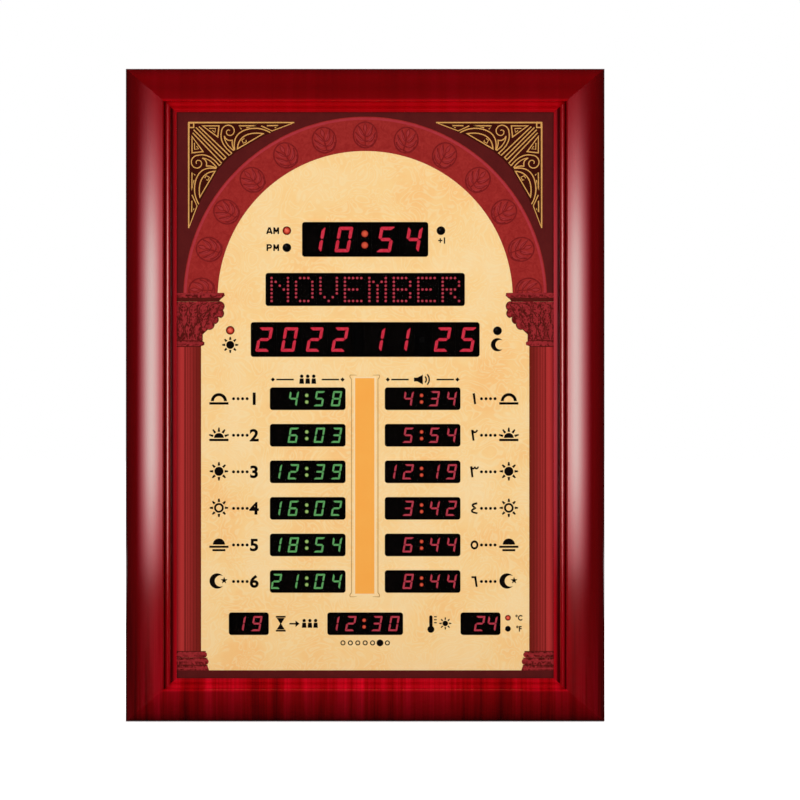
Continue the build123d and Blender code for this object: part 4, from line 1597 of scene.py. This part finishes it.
@dataclass
class Marks:
    """Black pictograms and plain numbers beside the windows."""

    ink: Ink = field(default_factory=lambda: Ink("black_mark_print", BLACK_INK, Layer.MOTIF))
    # Places across the face on the left and on the right.
    picture_x: Point = (-168.0, 165.0)
    number_x: Point = (-127.5, 125.5)
    dots_x: Point = (-151.2, 133.6)
    dot_pitch: float = 5.2
    dot_radius: float = 1.7

    def disc(self, center: Point, radius: float) -> None:
        """Prints a filled circle."""
        self.ink.print(circle(center, radius, 28))

    def ring(self, center: Point, radius: float, line: float) -> None:
        """Prints a circle of some line width."""
        self.ink.print(circle(center, radius, 32), circle(center, radius - line, 32))

    def bar(self, start: Point, end: Point, width: float) -> None:
        """Prints a straight line."""
        self.ink.print(ribbon([start, end], width))

    def words(self, words: str, center: Point, height: float, stretch: float = 0.92) -> None:
        """Prints characters."""
        add_words(self.ink.bm, words, center, height, self.ink.layer.level(), stretch)

    def letter(self, name: str, center: Point) -> None:
        """Prints a small heavy letter for the halves of the day.

        Args:
            name: A, P or M.
            center: Its middle.
        """
        stem = [(-2.4, -3.8), (-2.4, 3.8)]
        strokes = {
            "A": [[(-2.9, -3.8), (-0.3, 3.8)], [(2.9, -3.8), (0.3, 3.8)], [(-1.8, -1.7), (1.8, -1.7)]],
            "P": [stem, [(-2.4, 3.1), *arc((0.4, 1.4), 1.7, 90, -90, 8), (-2.4, -0.3)]],
            "M": [stem, [(-2.3, 3.4), (0.0, -1.6)], [(2.3, 3.4), (0.0, -1.6)], [(2.4, 3.8), (2.4, -3.8)]],
        }
        for stroke in strokes[name]:
            self.ink.print(placed(ribbon(stroke, 1.8), center))

    def rays(self, center: Point, near: float, far: float, width: float,
             angles: Iterable[float] = range(0, 360, 45)) -> None:
        """Prints rays round a point.

        Args:
            center: Middle of the rays.
            near: Where they start.
            far: Where they end.
            width: Their width.
            angles: Their angles in degrees.
        """
        for angle in angles:
            c, s = math.cos(math.radians(angle)), math.sin(math.radians(angle))
            start = (center[0] + near * c, center[1] + near * s)
            end = (center[0] + far * c, center[1] + far * s)
            self.ink.print(ribbon([start, end], width, 0.55))

    def half_sun(self, center: Point, radius: float) -> None:
        """Prints the upper half of a sun."""
        self.ink.print(arc(center, radius, 0, 180, 16))

    def moon(self, center: Point, radius: float) -> None:
        """Prints a crescent.

        Args:
            center: Its middle.
            radius: Its outer radius.
        """
        x, z = center
        outer = arc(center, radius, 40, 320, 24)
        inner = arc((x + radius * 0.42, z), radius * 0.74, 298, 62, 18)
        self.ink.print(outer + inner)

    def star(self, center: Point, radius: float) -> None:
        """Prints a star of five points.

        Args:
            center: Its middle.
            radius: Radius of its points.
        """
        points, waist = [], 0.42
        for corner in range(10):
            reach = radius if corner % 2 == 0 else radius * waist
            angle = math.radians(90 + corner * 36)
            points.append((center[0] + reach * math.cos(angle), center[1] + reach * math.sin(angle)))
        self.ink.print(points)

    def dawn(self, center: Point) -> None:
        """First light: an arch of light over the horizon.

        Args:
            center: Its middle.
        """
        x, z = center
        self.bar((x - 11, z - 6), (x + 11, z - 6), 2.7)
        self.ink.print(arc((x, z - 3.4), 9.2, 0, 180, 18) + arc((x, z - 3.4), 5.8, 180, 0, 16))

    def sunrise(self, center: Point) -> None:
        """Sun coming up over the horizon.

        Args:
            center: Its middle.
        """
        x, z = center
        self.bar((x - 11, z - 6), (x + 11, z - 6), 2.7)
        self.half_sun((x, z - 3.6), 5.6)
        self.rays((x, z - 3.6), 7.0, 11.8, 2.8, range(18, 163, 36))

    def noon(self, center: Point) -> None:
        """Full sun."""
        self.disc(center, 5.2)
        self.rays(center, 6.5, 10.6, 2.9)

    def afternoon(self, center: Point) -> None:
        """Open sun."""
        self.ring(center, 5.6, 2.3)
        self.rays(center, 6.8, 10.6, 2.9)

    def sunset(self, center: Point) -> None:
        """Sun half down over two lines of water.

        Args:
            center: Its middle.
        """
        x, z = center
        self.half_sun((x, z - 0.2), 7.0)
        self.bar((x - 11, z - 2.7), (x + 11, z - 2.7), 2.4)
        self.bar((x - 7.4, z - 6.6), (x + 7.4, z - 6.6), 2.4)

    def night(self, center: Point) -> None:
        """Crescent and star."""
        self.moon((center[0] - 2, center[1]), 8.8)
        self.star((center[0] + 6.0, center[1] + 0.6), 4.2)

    def rows(self) -> None:
        """Marks each row on both sides with a time of day and a number."""
        pictures = (self.dawn, self.sunrise, self.noon, self.afternoon, self.sunset, self.night)
        for row, (window, picture) in enumerate(zip(EQAMAH, pictures), start=1):
            for place in (0, 1):
                picture((self.picture_x[place], window.z + 0.6))
                if place == 0:
                    self.words(str(row), (self.number_x[place], window.z), 13.0, 1.1)
                else:
                    self.eastern_number(row, (self.number_x[place], window.z))
                for dot in range(4):
                    self.disc((self.dots_x[place] + dot * self.dot_pitch, window.z), self.dot_radius)

    def eastern_number(self, number: int, center: Point) -> None:
        """Prints an Eastern Arabic number from 1 to 6.

        Args:
            number: The number.
            center: Its middle.
        """
        strokes = {
            1: [([(-0.8, 6.2), (0.8, -6.2)], 2.7)],
            2: [([(-2.6, 6.2), (-1.0, -6.2)], 2.6), (bend((-2.2, 5.4), (0.6, 1.0), (3.4, 6.0)), 2.1)],
            3: [([(-3.8, 6.2), (-2.2, -6.2)], 2.6), (bend((-3.2, 5.2), (-1.2, 1.4), (0.4, 5.8), 8), 1.9),
                (bend((0.2, 5.8), (2.2, 1.2), (4.6, 6.0), 8), 1.9)],
            4: [(bends((3.2, 5.8), (-6.4, 4.6), (1.4, 0.4), (-8.4, -3.8), (3.4, -5.6)), 2.3)],
            6: [([(-3.4, 5.0), (1.4, 5.0)], 2.3), ([(0.8, 6.1), (2.6, -6.2)], 2.6)],
        }
        if number == 5:
            outer, inner = (placed(circle((0, 0), radius), center, 0, (0.86, 1.0)) for radius in (5.2, 2.7))
            self.ink.print(outer, inner)
            return
        for path, width in strokes[number]:
            self.ink.print(placed(ribbon(path, width, 0.85), center))

    def crowd(self, center: Point, scale: float) -> None:
        """Three people side by side.

        Args:
            center: Its middle.
            scale: Size factor.
        """
        for step in (-1, 0, 1):
            x = center[0] + step * 6.6 * scale
            self.disc((x, center[1] + 3.6 * scale), 1.9 * scale)
            body = [(-2.6, -4.6), (2.6, -4.6), (2.1, 1.2), (-2.1, 1.2)]
            self.ink.print(placed(body, (x, center[1]), 0, (scale, scale)))

    def headings(self) -> None:
        """Marks the two columns: people standing in a row, and a call going out."""
        z = 18.0
        for window in (EQAMAH[0], AZAN[0]):
            for side in (-1, 1):
                self.bar((window.x + side * 16, z), (window.x + side * 36, z), 1.7)
                self.ink.print(placed(rectangle(-1.7, 1.7, -1.7, 1.7), (window.x + side * 40, z), 45))
        self.crowd((EQAMAH[0].x, z), 1.05)
        x = AZAN[0].x - 1
        self.ink.print([(x - 9, z - 2.2), (x - 5, z - 2.2), (x + 1.2, z - 5.6), (x + 1.2, z + 5.6),
                        (x - 5, z + 2.2), (x - 9, z + 2.2)])
        for reach in (5.0, 8.4):
            self.ink.print(ribbon(arc((x + 0.2, z), reach, -44, 44, 10), 1.6))

    def hourglass(self, center: Point) -> None:
        """Hourglass.

        Args:
            center: Its middle.
        """
        x, z = center
        for end in (-1, 1):
            self.bar((x - 5.6, z + end * 8.0), (x + 5.6, z + end * 8.0), 1.9)
            glass = [(x - 4.6, z + end * 6.6), (x + 4.6, z + end * 6.6), (x + 0.5, z), (x - 0.5, z)]
            self.ink.print(glass[::end])

    def thermometer(self, center: Point) -> None:
        """Thermometer with a scale of three marks.

        Args:
            center: Its middle.
        """
        x, z = center
        self.disc((x, z - 6.4), 4.0)
        self.ink.print(rounded((x, z + 2.6), 3.8, 14.0, 1.8))
        for step in range(3):
            self.bar((x + 3.6, z + 1.2 + step * 3.4), (x + 6.6, z + 1.2 + step * 3.4), 1.2)

    def small_labels(self) -> None:
        """Marks the indicators and the lower windows."""
        for first, z in (("A", 189.0), ("P", 169.5)):
            self.letter(first, (-110.0, z))
            self.letter("M", (-102.2, z))
        self.words("+1", (88.5, 177.6), 6.6)
        self.disc((-155.0, 57.8), 4.6)
        self.rays((-155.0, 57.8), 5.8, 9.2, 2.7)
        self.moon((152.0, 58.0), 7.6)
        z = COUNTDOWN.z
        self.hourglass((-97.0, z))
        self.bar((-87.0, z), (-79.5, z), 1.7)
        self.ink.print([(-80.0, z - 3.6), (-75.4, z), (-80.0, z + 3.6)])
        self.crowd((-63.5, z), 1.0)
        for day in range(7):
            spot = (FRIDAY.x - 25.5 + day * 8.5, FRIDAY.z - 22.0)
            if day == 5:
                self.disc(spot, 3.9)
            else:
                self.ring(spot, 2.9, 1.2)
        self.thermometer((75.5, TEMPERATURE.z))
        sun = (92.0, TEMPERATURE.z + 0.4)
        self.disc(sun, 3.2)
        self.rays(sun, 4.2, 7.0, 1.8)
        self.words("°C", (176.5, UNIT_LEDS[0][1]), 5.8, 0.88)
        self.words("°F", (176.5, UNIT_LEDS[1][1]), 5.8, 0.88)

    def build(self) -> None:
        """Prints every mark."""
        self.rows()
        self.headings()
        self.small_labels()
        self.ink.done()


# ---- Displays ----
class Glow(Enum):
    """What a display shows its numbers in, and its colon."""

    FINE_RED = (FINE_RED, LIT_ORANGE)
    BIG_RED = (LIT_RED, LIT_ORANGE)
    GREEN = (LIT_GREEN, LIT_LIME)


# Segments that each number lights: a on top, then clockwise to f, and g across the middle.
LIT_SEGMENTS = {"0": "abcdef", "1": "bc", "2": "abdeg", "3": "abcdg", "4": "bcfg", "5": "acdfg",
                "6": "acdefg", "7": "abc", "8": "abcdefg", "9": "abcdfg", " ": ""}
# Rows of each letter on the dot matrix, from the top.
DOT_LETTERS = {
    "N": "#...# ##..# #.#.# #..## #...# #...# #...#",
    "O": ".###. #...# #...# #...# #...# #...# .###.",
    "V": "#...# #...# #...# #...# #...# .#.#. ..#..",
    "E": "##### #.... #.... ####. #.... #.... #####",
    "M": "#...# ##.## #.#.# #.#.# #.#.# #.#.# #.#.#",
    "B": "####. #...# #...# ####. #...# #...# ####.",
    "R": "####. #...# #...# ####. #.#.. #..#. #...#",
}


@dataclass(frozen=True)
class DigitStyle:
    """Sizes of a seven-segment number: half width, half height, stroke and gap."""

    half_width: float
    half_height: float
    stroke: float
    gap: float = 0.45
    lean: float = 10.0

    def segments(self) -> dict[str, Loop]:
        """Outline of each segment, upright and centred.

        Returns:
            The outlines by segment letter.
        """
        w, h, s, g = self.half_width, self.half_height, self.stroke, self.gap
        cut = s * 0.3
        across = [(-w + g + cut, h), (w - g - cut, h), (w - g, h - cut * 0.6), (w - s - g, h - s),
                  (-w + s + g, h - s), (-w + g, h - cut * 0.6)]
        upright = [(w - cut * 0.6, h - g - cut * 0.3), (w, h - g - cut), (w, g + s * 0.35), (w - s * 0.5, g),
                   (w - s, s / 2 + g), (w - s, h - s - g)]
        middle = [(-w + g + s / 2, 0), (-w + s + g, s / 2), (w - s - g, s / 2), (w - g - s / 2, 0),
                  (w - s - g, -s / 2), (-w + s + g, -s / 2)]
        return {
            "a": across,
            "b": upright,
            "c": [(x, -z) for x, z in upright],
            "d": [(x, -z) for x, z in across],
            "e": [(-x, -z) for x, z in upright],
            "f": [(-x, z) for x, z in upright],
            "g": middle,
        }

    def leaned(self, loop: Loop, center: Point) -> Loop:
        """Outline leaned to the right and moved to its place."""
        lean = math.tan(math.radians(self.lean))
        return [(center[0] + x + z * lean, center[1] + z) for x, z in loop]


BIG_DIGIT = DigitStyle(8.4, 14.6, 3.7, 0.4)
DATE_DIGIT = DigitStyle(7.9, 14.0, 3.4, 0.4)
SMALL_DIGIT = DigitStyle(5.2, 8.7, 2.1, 0.25)
# Depth of a lit segment or dot in front of its display body.
FACE_DEPTH = 0.25


@dataclass
class NumberDisplay:
    """Seven-segment numbers behind one window."""

    name: str
    text: str
    window: Window
    style: DigitStyle
    centers: Sequence[float]
    glow: Glow
    colon: float | None = None
    colon_rise: float = 3.8
    colon_radius: float = 2.2
    colon_height: float = 0.45

    def build(self) -> None:
        """Builds lit and dark segments, and the colon's domes."""
        bm = bmesh.new()
        for number, x in zip(self.text, self.centers):
            middle = (self.window.x + x, self.window.z)
            for letter, loop in self.style.segments().items():
                lit = letter in LIT_SEGMENTS[number]
                add_plate(bm, [self.style.leaned(loop, middle)], MODULE_FRONT, FACE_DEPTH, 0 if lit else 2)
        if self.colon is not None:
            for end in (-1, 1):
                center = (self.window.x + self.colon, self.window.z + end * self.colon_rise)
                radius = self.colon_radius
                profile = [(0.0, MODULE_FRONT), (radius, MODULE_FRONT)]
                profile += [(radius * math.cos(t), MODULE_FRONT + self.colon_height * math.sin(t))
                            for t in (0.4, 0.8, 1.2)]
                add_turned(bm, [*profile, (0.0, MODULE_FRONT + self.colon_height)], center, 20, 1)
        finishes = [*self.glow.value, DARK_EPOXY]
        finish_piece(bm, self.name, finishes)


@dataclass
class MatrixDisplay:
    """Dot matrix modules that spell a month."""

    text: str = "NOVEMBER"
    first: float = -107.6
    module_pitch: float = 28.1
    column_pitch: float = 4.7
    row_pitch: float = 4.4
    radius: float = 1.4

    def build(self) -> None:
        """Builds lit and dark dots."""
        bm = bmesh.new()
        for place, letter in enumerate(self.text):
            for row, line in enumerate(DOT_LETTERS[letter].split()):
                for column, mark in enumerate(line):
                    x = self.first + place * self.module_pitch + column * self.column_pitch
                    z = MONTH.z + (3 - row) * self.row_pitch
                    slot = 0 if mark == "#" else 1
                    add_plate(bm, [circle((x, z), self.radius, 12)], MODULE_FRONT, FACE_DEPTH, slot)
        finish_piece(bm, "month_dots", [FINE_RED, DARK_EPOXY])


@dataclass
class Displays:
    """Every display, as it stands at one moment."""

    time_digits: Sequence[float] = (-56.5, -24.5, 23.5, 55.5)
    date_digits: Sequence[float] = (-116, -87, -58, -29, 13, 42, 89, 118)
    row_digits: Sequence[float] = (-36.0, -16.6, 13.4, 33.0)
    countdown_digits: Sequence[float] = (-10, 9)
    temperature_digits: Sequence[float] = (-1, 13.2)
    time_colon: Sequence[float] = (-0.5, 6.6, 4.0)
    row_colon: float = -1.2
    eqamah: Sequence[str] = (" 458", " 603", "1239", "1602", "1854", "2104")
    azan: Sequence[str] = (" 434", " 554", "1219", " 342", " 644", " 844")

    def build(self) -> None:
        """Builds the displays."""
        NumberDisplay("time_segments", "1054", TIME, BIG_DIGIT, self.time_digits, Glow.BIG_RED,
                      *self.time_colon).build()
        NumberDisplay("date_segments", "20221125", DATE, DATE_DIGIT, self.date_digits, Glow.BIG_RED).build()
        MatrixDisplay().build()
        for row in range(6):
            NumberDisplay(f"eqamah_segments_{row + 1}", self.eqamah[row], EQAMAH[row], SMALL_DIGIT,
                          self.row_digits, Glow.GREEN, self.row_colon).build()
            NumberDisplay(f"azan_segments_{row + 1}", self.azan[row], AZAN[row], SMALL_DIGIT,
                          self.row_digits, Glow.FINE_RED, self.row_colon).build()
        for word, text, window, digits, colon in (
                ("countdown", "19", COUNTDOWN, self.countdown_digits, None),
                ("friday", "1230", FRIDAY, self.row_digits, self.row_colon),
                ("temperature", "24", TEMPERATURE, self.temperature_digits, None)):
            NumberDisplay(f"{word}_segments", text, window, SMALL_DIGIT, digits, Glow.FINE_RED, colon).build()


@dataclass
class IndicatorLeds:
    """Round LEDs in the face and the sleeves that hold them."""

    tip: float = 27.6
    dome_foot: float = 25.4
    flange: float = 0.6
    flange_level: float = 21.8
    flange_height: float = 1.1
    chamfer: float = 0.1
    leg_aside: float = 1.27
    leg_half: float = 0.25
    # Levels of a sleeve's back, its collar and its front, the collar's width and the gap round its fits.
    sleeve: tuple[float, float, float] = (23.0, 24.0, 27.0)
    collar: float = 1.2
    gap: float = 0.02

    def add_lamp(self, bm: BMesh, center: Point, radius: float, slot: int) -> None:
        """Adds one LED with its flange, dome and legs.

        Args:
            bm: Mesh that it goes into.
            center: Face point of its axis.
            radius: Radius of its dome.
            slot: 0 for a lit LED, 1 for a dark one.
        """
        bottom, top = self.flange_level, self.flange_level + self.flange_height
        wide = radius + self.flange
        body = wide - self.chamfer
        profile = [(0.0, bottom), (wide, bottom), (wide, top), (body, top + self.chamfer)]
        profile += [(body * math.cos(t), self.dome_foot + (self.tip - self.dome_foot) * math.sin(t))
                    for t in (0, 0.3, 0.6, 0.9, 1.2, 1.4)]
        add_turned(bm, [*profile, (0.0, self.tip)], center, 28, slot)
        half = self.leg_half
        for side in (-1, 1):
            leg = placed(rectangle(-half, half, -half, half), (center[0] + side * self.leg_aside, center[1]))
            add_plate(bm, [leg], BOARD_FRONT, bottom - BOARD_FRONT, 2)

    def add_sleeve(self, bm: BMesh, center: Point, radius: float, hole: float) -> None:
        """Adds one sleeve.

        Args:
            bm: Mesh that it goes into.
            center: Face point of its axis.
            radius: Radius of its LED.
            hole: Radius of the hole in the sheet.
        """
        back, step, front = self.sleeve
        bore = radius + self.flange + self.gap
        wide, narrow = hole + self.collar, hole - self.gap
        profile = [(bore, back), (wide, back), (wide, step), (narrow, step), (narrow, front - self.chamfer),
                   (narrow - self.chamfer, front), (bore, front), (bore, back)]
        add_turned(bm, profile, center, 32)

    def build(self) -> None:
        """Builds both groups of LEDs and sleeves."""
        groups = (("indicator", "indicator_leds", "indicator_holders", INDICATORS, INDICATOR_RADIUS,
                   INDICATOR_HOLE),
                  ("unit", "unit_leds", "unit_led_holders", UNIT_LEDS, UNIT_LED_RADIUS, UNIT_LED_HOLE))
        for word, leds, holders, places, radius, hole in groups:
            lamps, sleeves = bmesh.new(), bmesh.new()
            for x, z, lit in places:
                self.add_lamp(lamps, (x, z), radius, 0 if lit else 1)
                self.add_sleeve(sleeves, (x, z), radius, hole)
            finish_piece(lamps, f"{word}_led_domes", [LED_RED, LED_BLACK, ZINC_STEEL],
                         replaces=[leds], smooth=40)
            finish_piece(sleeves, f"{word}_led_sleeves", [BLACK_ABS],
                         replaces=[holders], smooth=40)


# ---- Everything else keeps its CAD shape ----
def dress_cad_nodes() -> None:
    """Gives each CAD node the finish of its record slot."""
    for entry in frame["record"]["subparts"]:
        node = frame["nodes"][entry["node"]]
        finish = SLOT_FINISHES[entry["material_slot"]]
        if entry["node"] == "display_boards":
            finish = BLACK_BOARD
        node.data.materials.clear()
        node.data.materials.append(finish.material())


# ---- Studio ----
WHITE = color("FFFFFF")
BLACK_CLOTH = {"Base Color": color("000000"), "Specular IOR Level": 0.0}
# Light of the stiles' card, from where it has faded to where it is full.
CARD_TINTS = ((0.0, "FF3F62"), (0.6, "FFB3B8"), (1.0, "FFF3ED"))
# Lamps: name, place, side and power in watts.
SOFTBOXES = (("left_softbox", (-1.5, -2.8, 0.5), 1.2, 22.0), ("right_softbox", (1.5, -2.8, 0.5), 1.2, 22.0),
             ("rear_softbox", (0.6, 2.6, 1.8), 1.6, 28.0))


@dataclass
class Studio:
    """White room, two soft boxes beside the camera and one behind the clock, and a long lens."""

    distance: float = 7.0
    view_width: float = 0.92
    sensor_mm: float = 36.0
    aim: tuple[float, float, float] = (0.04, 0.0, -0.0055)
    # The stiles' card: its distance, the angles and heights that it spans, and where its light lies and ends.
    card_radius: float = 6.0
    card_span: Point = (-50.0, 46.0)
    card_edges: Point = (-0.9, 1.1)
    card_strength: float = 13.3
    card_center: float = -4.3
    card_turns: Point = (0.0, 46.0)
    card_height: float = 0.07
    card_fade: Point = (0.18, 0.64)
    led_card_place: tuple[float, float, float] = (-1.3, -3.2, 1.7)
    led_card_radius: float = 0.42
    led_card_strength: float = 14.0
    tent_radius: float = 8.0
    tent_back: float = 6.9
    floor_size: float = 30.0
    floor_glow: float = 0.7
    ambient: float = 0.5

    def camera(self) -> None:
        """Adds the camera square on to the face."""
        data = bpy.data.cameras.new("camera")
        data.sensor_width = self.sensor_mm
        data.lens = self.sensor_mm * self.distance / self.view_width
        data.clip_end = 100.0
        camera = add_object("camera", data)
        camera.location = (self.aim[0], -self.distance, self.aim[2])
        camera.rotation_euler = (math.radians(90), 0, 0)
        bpy.context.scene.camera = camera

    def softbox(self, name: str, place: tuple[float, float, float], side: float, power: float) -> None:
        """Adds an area lamp that looks at the middle of the clock and leaves no reflection of itself.

        Args:
            name: Its name.
            place: Where it stands.
            side: Its width and height.
            power: Its power in watts.
        """
        data = bpy.data.lights.new(name, "AREA")
        data.shape = "RECTANGLE"
        data.size = data.size_y = side
        data.energy = power
        lamp = add_object(name, data)
        lamp.location = place
        lamp.rotation_euler = (-Vector(place)).to_track_quat("-Z", "Y").to_euler()
        lamp.visible_glossy = False

    def silk(self, tree: Tree) -> dict:
        """Lit silk, brightest a little to the left, that fades and reddens to the sides, up and down.

        Args:
            tree: Its node tree.

        Returns:
            Inputs of its shader.
        """
        front = calculate(tree, "MULTIPLY", coordinate(tree, "Y"), -1.0)
        turn = calculate(tree, "ARCTAN2", coordinate(tree, "X"), front)
        shift = calculate(tree, "SUBTRACT", turn, math.radians(self.card_center))
        limits = [math.radians(angle) for angle in self.card_turns]
        across = rescale(tree, calculate(tree, "ABSOLUTE", shift), limits, (1.0, 0.0), "SMOOTHSTEP")
        rise = calculate(tree, "SUBTRACT", coordinate(tree, "Z"), self.card_height)
        up = rescale(tree, calculate(tree, "ABSOLUTE", rise), self.card_fade, (1.0, 0.0), "SMOOTHSTEP")
        glow = calculate(tree, "MULTIPLY", across, up)
        return BLACK_CLOTH | {"Emission Color": add_ramp(tree, glow, CARD_TINTS),
                              "Emission Strength": calculate(tree, "MULTIPLY", glow, self.card_strength)}

    def stile_card(self) -> None:
        """Adds the curved card that lights the lacquer of the stiles."""
        bm = bmesh.new()
        first, last = self.card_span
        low, high = self.card_edges
        curve = arc((0, 0), self.card_radius, first - 90, last - 90, round((last - first) / 4))
        path = [bm.verts.new((x, y, low)) for x, y in curve]
        edges = [bm.edges.new(pair) for pair in zip(path, path[1:])]
        raised = only_verts(bmesh.ops.extrude_edge_only(bm, edges=edges)["geom"])
        bmesh.ops.translate(bm, verts=raised, vec=(0, 0, high - low))
        silk = new_material("lit_studio_silk", self.silk)
        self.for_reflections(mesh_of(bm, "stile_card", [silk]),
                             ("mahogany_left_stile", "mahogany_right_stile"))

    def led_card(self) -> None:
        """Adds the small round card that the LED domes reflect."""
        bm = bmesh.new()
        bmesh.ops.create_circle(bm, cap_ends=True, segments=32, radius=self.led_card_radius)
        place = Vector(self.led_card_place)
        turn = (-place).to_track_quat("-Z", "Y")
        bmesh.ops.transform(bm, verts=bm.verts, matrix=Matrix.LocRotScale(place, turn, None))
        light = BLACK_CLOTH | {"Emission Color": WHITE, "Emission Strength": self.led_card_strength}
        card = new_material("small_lit_card", lambda tree: light)
        self.for_reflections(mesh_of(bm, "led_card", [card]), ("indicator_led_domes", "unit_led_domes"))

    def tent(self) -> None:
        """Adds a dome of dark cloth over the front and a carpet before the clock, for reflections only."""
        bm = bmesh.new()
        bmesh.ops.create_uvsphere(bm, u_segments=48, v_segments=24, radius=self.tent_radius)
        ground = -HALF_HEIGHT * MM + 0.001
        for point, normal in (((0, 0, ground), (0, 0, -1)), ((0, self.tent_back, 0), (0, 1, 0))):
            geom = [*bm.verts, *bm.edges, *bm.faces]
            bmesh.ops.bisect_plane(bm, geom=geom, plane_co=point, plane_no=normal, clear_outer=True)
        carpet = bmesh.ops.create_grid(bm, x_segments=1, y_segments=1, size=4.0)["verts"]
        bmesh.ops.scale(bm, verts=carpet, vec=(2.0, 1.5, 1.0))
        bmesh.ops.translate(bm, verts=carpet, vec=(0, -3.0, ground))
        cloth = Finish("black_studio_cloth", "040404", "050505", 1.0, specular=0.0)
        self.for_reflections(mesh_of(bm, "dark_tent", [cloth.material()]))

    def for_reflections(self, mesh: bpy.types.Mesh, receivers: Sequence[str] = ()) -> None:
        """Adds a studio object that only reflections see.

        Args:
            mesh: Its mesh.
            receivers: The pieces that it is lit for, or none for all of them.
        """
        made = add_object(mesh.name, mesh)
        for ray in ("camera", "diffuse", "shadow", "transmission", "volume_scatter"):
            setattr(made, f"visible_{ray}", False)
        if receivers:
            lit = bpy.data.collections.new(f"lit_by_{mesh.name}")
            for name in receivers:
                lit.objects.link(bpy.data.objects[name])
            made.light_linking.receiver_collection = lit

    def paper(self, tree: Tree) -> dict:
        """Matte white paper that glows only where it is looked at.

        Args:
            tree: Its node tree.

        Returns:
            Inputs of its shader.
        """
        return {"Base Color": color("F4F4F4"), "Roughness": 0.9, "Specular IOR Level": 0.0,
                "Emission Color": WHITE,
                "Emission Strength": calculate(tree, "MULTIPLY", self.seen(tree), self.floor_glow)}

    def floor(self) -> None:
        """Adds the white floor that the clock stands on, which keeps its shadow."""
        bm = bmesh.new()
        bmesh.ops.create_grid(bm, x_segments=1, y_segments=1, size=self.floor_size)
        bmesh.ops.translate(bm, verts=bm.verts, vec=(0, 0, -HALF_HEIGHT * MM))
        paper = new_material("white_floor_paper", self.paper)
        floor = add_object("floor", mesh_of(bm, "floor", [paper]))

    def seen(self, tree: Tree) -> Socket:
        """Adds a value that is 1 where the camera, a reflection or glass sees the surface.

        Args:
            tree: Its node tree.

        Returns:
            The value's output.
        """
        path = add_node(tree, "LightPath").outputs
        first = calculate(tree, "MAXIMUM", path["Is Camera Ray"], path["Is Glossy Ray"])
        return calculate(tree, "MAXIMUM", first, path["Is Transmission Ray"])

    def world(self) -> None:
        """Sets a white background and a soft fill."""
        world = bpy.data.worlds.new("studio")
        world.use_nodes = True
        tree = world.node_tree
        strength = rescale(tree, self.seen(tree), (0.0, 1.0), (self.ambient, 1.0))
        fill_inputs(tree, tree.nodes["Background"], {"Color": WHITE, "Strength": strength})
        bpy.context.scene.world = world

    def build(self) -> None:
        """Sets up camera, lamps, cloth, cards, floor and world."""
        bpy.context.scene.view_settings.view_transform = "Standard"
        self.camera()
        for name, place, side, power in SOFTBOXES:
            self.softbox(name, place, side, power)
        self.tent()
        self.stile_card()
        self.led_card()
        self.floor()
        self.world()


def main() -> None:
    """Builds and dresses every sub-assembly, then the studio."""
    logging.basicConfig(level=logging.INFO, format="%(message)s")
    dress_cad_nodes()
    Moulding().build()
    FaceSheet().build()
    ArchPrint().build()
    ColumnPrint().build()
    CenterBar().build()
    Marks().build()
    Displays().build()
    IndicatorLeds().build()
    Studio().build()


if __name__ == "__main__":
    main()
